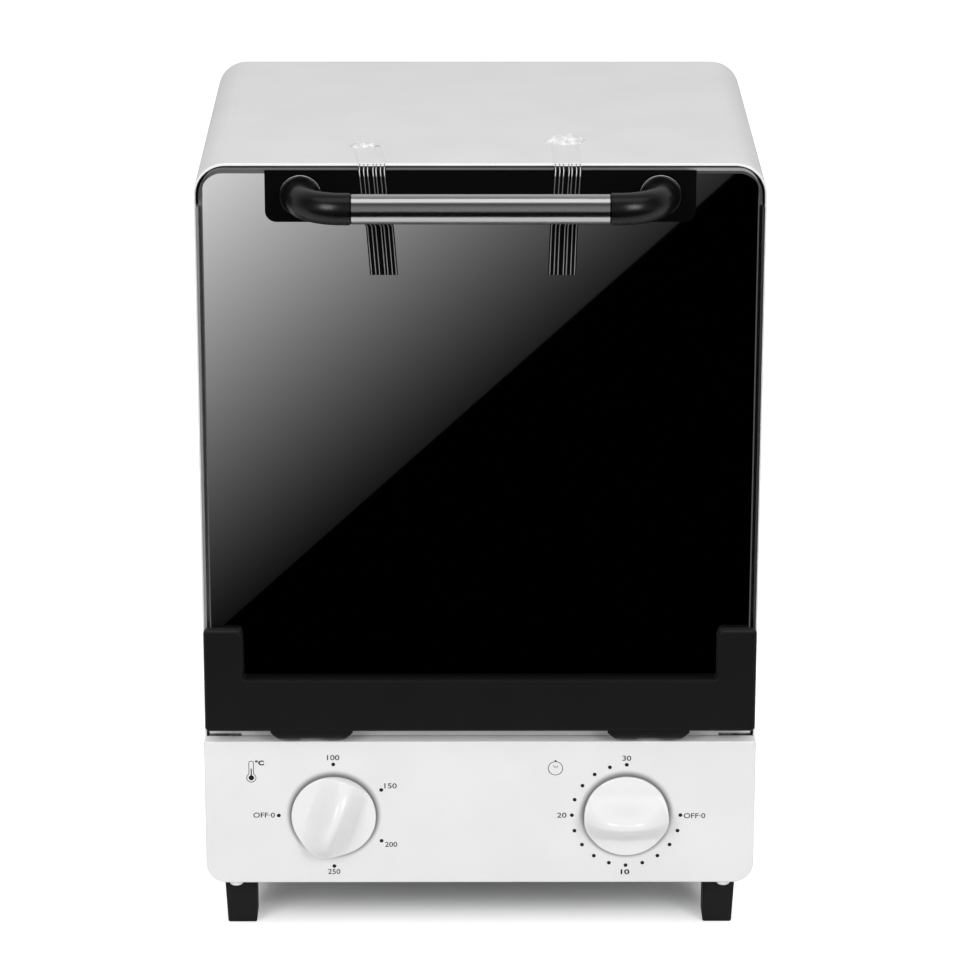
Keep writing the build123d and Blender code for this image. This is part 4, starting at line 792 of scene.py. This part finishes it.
def torn_end(name, centre, width, depth, height, lean, folds, seed):
    """A crumpled sheet lying on the roof.

    Seen from above it is a lens that tapers to one end, as it leans. Its height is the
    lens times the sum of four folded ridges of random slant and spacing, each how far
    a running count lies from its nearest half.
    """
    dice = np.random.default_rng(seed)
    u, v = np.meshgrid(np.linspace(-1, 1, torn_rows), np.linspace(-1, 1, torn_columns),
                       indexing="ij")
    lens = np.clip(1 - u**2, 0, 1) ** 0.6
    taper = (1 + lean * u) / (1 + abs(lean))
    ridge = 0 * u
    for _ in range(4):
        count = u * dice.uniform(1, folds) + v * dice.uniform(-2, 2) + dice.random()
        ridge = ridge + np.abs(count % 1 - 0.5)
    top = lens * np.clip(1 - v**2, 0, 1) ** 0.5 * taper * height * (0.35 + 0.65 * ridge)
    x = centre[0] + u * width / 2 + 0.0008 * ridge * v
    y = centre[1] + v * depth / 2 * (0.25 + 0.75 * lens) * taper + 0.0006 * np.sin(9 * u + seed)
    upper = np.stack([x, y, roof_z + 0.0001 + top], -1).reshape(-1, 3)
    lower = upper * (1, 1, 0) + (0, 0, roof_z)
    n = len(upper)
    at = np.arange(n).reshape(u.shape)
    quads = np.stack([at[:-1, :-1], at[1:, :-1], at[1:, 1:], at[:-1, 1:]], -1).reshape(-1, 4)
    rim = np.concatenate([at[:, 0], at[-1, 1:], at[-2:0:-1, -1], at[0, :0:-1]])
    after = np.roll(rim, -1)
    walls = np.stack([rim, rim + n, after + n, after], -1)
    return skin(name, np.concatenate([upper, lower]), [*quads, *(quads[:, ::-1] + n), *walls],
                crumple, "cabinet", smooth=False)


torn_end("tape_end_left", (-0.0505, -0.0520), 0.0120, 0.0100, 0.0020, -0.75, 2.4, 4)
torn_end("tape_end_right", (0.0375, -0.0440), 0.0170, 0.0130, 0.0024, 0.1, 3.2, 11)

# ---- Floor and cards ------------------------------------------------------------
# A pale floor, white to the camera except in the shadow near the body. The glass
# mirrors it some way in front, so a dark card and a pale one lie there, seen in
# reflections only.
card_edge, card_far, dark_far = -0.405, -2.2, -4.5


def sheet_on_floor(name, corners, height, finish, only_mirrored=False):
    """A flat stage card through corners at a height; it may show in reflections only."""
    mesh = bpy.data.meshes.new(name)
    mesh.from_pydata([(x, y, height) for x, y in corners], [], [list(range(len(corners)))])
    mesh.materials.append(finish.material)
    card = bpy.data.objects.new(name, mesh)
    bpy.context.scene.collection.objects.link(card)
    if only_mirrored:
        card.visible_camera = card.visible_diffuse = False
        card.visible_shadow = card.visible_transmission = False
    return card


floor_finish = Finish("studio_floor", Roughness=1.0, Specular_IOR_Level=0.0)
seen = floor_finish.node("LightPath", out="Is Camera Ray")
floor_finish.set(Base_Color=floor_finish.blend(seen, grey(0.82), grey(0.92)))
floor_x, floor_y, _ = floor_finish.axes()
before, beside = (floor_y * -1).over(0.045, 0.118), floor_x.size().over(0.095, 0.135)
clear_of = before.math("MAXIMUM", beside)
clear_of = seen * clear_of.math("MAXIMUM", floor_y.over(0.14, 0.22))
floor_glow = floor_finish.blend(clear_of, (0, 0, 0), (1, 1, 1))
floor_finish.set(Emission_Color=floor_glow, Emission_Strength=1.0)
sheet_on_floor("floor", [(-8, -8), (8, -8), (8, 8), (-8, 8)], 0.0, floor_finish)

dark_card = Finish("dark_card", Base_Color=(0, 0, 0), Roughness=1.0, Specular_IOR_Level=0.0)
sheet_on_floor("dark_floor_card", [(-2.5, dark_far), (2.5, dark_far), (2.5, card_edge),
                                   (-2.5, card_edge)], 0.002, dark_card, True)

# The pale card glows, and the glass mirrors it. The glow fades from left to right and
# towards its near edge, as seen from the camera's mirror image behind the glass; its
# right edge is the diagonal on the glass.
mirror_x, mirror_y = -0.0069, 1.6845
card_glow = 7.8
glow_start, glow_across, glow_near = 2.014, 5.048, 4.844
glow_power, glow_limit = 2.2, 0.68
near_edge, far_edge = (-0.1386, -0.4913), (0.2061, -1.5093)
pale_card = Finish("pale_card", Base_Color=(0, 0, 0), Roughness=1.0, Specular_IOR_Level=0.0,
                   Emission_Strength=card_glow)
card_x, card_y, _ = pale_card.axes()
distance = mirror_y - card_y
level = glow_start - (card_x - mirror_x) / distance * glow_across - glow_near / distance
pale = (level.math("MAXIMUM", 0.0) ** glow_power).math("MINIMUM", glow_limit)
pale = pale * (1 - (card_x * -1).over(0.24, 1.0) * 0.85)
pale_card.set(Emission_Color=pale_card.node("CombineColor", None, {0: pale, 1: pale, 2: pale}))
slope = (far_edge[0] - near_edge[0]) / (far_edge[1] - near_edge[1])
edge_x = [near_edge[0] + slope * (y - near_edge[1]) for y in (card_edge, card_far)]
pale_floor_card = sheet_on_floor("pale_floor_card", [(-1.2, card_far), (edge_x[1], card_far),
                                                     (edge_x[0], card_edge), (-1.2, card_edge)],
                                 0.003, pale_card, True)
only_glass = bpy.data.collections.new("glass_alone")
only_glass.objects.link(nodes["door_glass"])
pale_floor_card.light_linking.receiver_collection = only_glass

# ---- Lamps and surroundings -----------------------------------------------------
# A weak soft lamp above and two stronger ones in front. The world is white to the
# camera; polished metal mirrors a dim ramp by height, which gives the tube its bands.


def lamp(name, place, aim, size, power):
    """A soft rectangular lamp at a place, turned to a point."""
    light = bpy.data.lights.new(name, "AREA")
    light.shape = "RECTANGLE"
    light.size, light.size_y = size
    light.energy = power
    holder = bpy.data.objects.new(name, light)
    holder.location = place
    holder.rotation_euler = (Vector(aim) - Vector(place)).to_track_quat("-Z", "Y").to_euler()
    bpy.context.scene.collection.objects.link(holder)
    return holder


lamp("top_lamp", (0.0, -0.3, 1.7), (0, -0.3001, 0), (2.2, 0.8), 5.6)
for side in (-1, 1):
    lamp("front_lamp", (1.3 * side, -2.0, 1.35), (0, 0, 0.15), (0.9, 1.2), 22.8)

world = bpy.data.worlds.new("studio")
bpy.context.scene.world = world
world.use_nodes = True
studio = Finish.__new__(Finish)
studio.tree = world.node_tree
studio.shader = world.node_tree.nodes["Background"]
direction = studio.node("SeparateXYZ", None, {0: studio.node("TexCoord", out="Generated")})
_, dy, dz = (Value(studio, socket) for socket in direction.socket.node.outputs)
rise = dz.math("ARCTAN2", dy * -1) / (2 * math.pi) + 0.5
tones = [(-180, 0.5), (-12, 0.10), (4, 0.21), (20, 0.19), (30, 0.15), (40, 0.09), (48, 0.045),
         (55, 0.06), (62, 0.22), (68, 0.08), (100, 0.05), (107, 0.30), (119, 0.26), (130, 0.47),
         (148, 0.55), (179, 0.5)]
stops = [(degrees / 360 + 0.5, grey(tone)) for degrees, tone in tones]
mirrored = studio.node("ValToRGB", {"stops": stops}, {0: rise})
rays = studio.node("LightPath").socket.node.outputs
camera_ray, glossy_ray, transmitted = (Value(studio, rays[n]) for n in
                                       ("Is Camera Ray", "Is Glossy Ray", "Is Transmission Ray"))
sky_low, sky_rise = 0.335, 0.26
ambient = dz.math("MAXIMUM", 0.0) ** 2 * sky_rise + sky_low
straight = camera_ray.math("MAXIMUM", transmitted)
strength = ambient + straight * (1 - ambient) + glossy_ray * (mirrored - ambient)
studio.fill(studio.shader, {"Color": (1, 1, 1), "Strength": strength})

# ---- Camera ---------------------------------------------------------------------
# It stands where the photo was taken from, as found from the cabinet's corners, and
# looks down at it by pitch; all angles are in radians.
camera_place = Vector((-0.0069, -1.8665, 0.8065))
yaw, pitch, roll = 0.0057, 0.3215, 0.0013
ahead = Vector((math.sin(yaw), math.cos(yaw), 0))
level_right = Vector((math.cos(yaw), -math.sin(yaw), 0))
forward = ahead * math.cos(pitch) - Vector((0, 0, math.sin(pitch)))
level_up = level_right.cross(forward)
right = level_right * math.cos(roll) + level_up * math.sin(roll)
up = right.cross(forward)
lens = bpy.data.cameras.new("camera")
lens.sensor_width = 36
lens.lens = 155.81
camera = bpy.data.objects.new("camera", lens)
bpy.context.scene.collection.objects.link(camera)
turn = Matrix((right, up, -forward)).transposed().to_4x4()
camera.matrix_world = Matrix.Translation(camera_place) @ turn
bpy.context.scene.camera = camera
bpy.context.scene.view_settings.view_transform = "Standard"
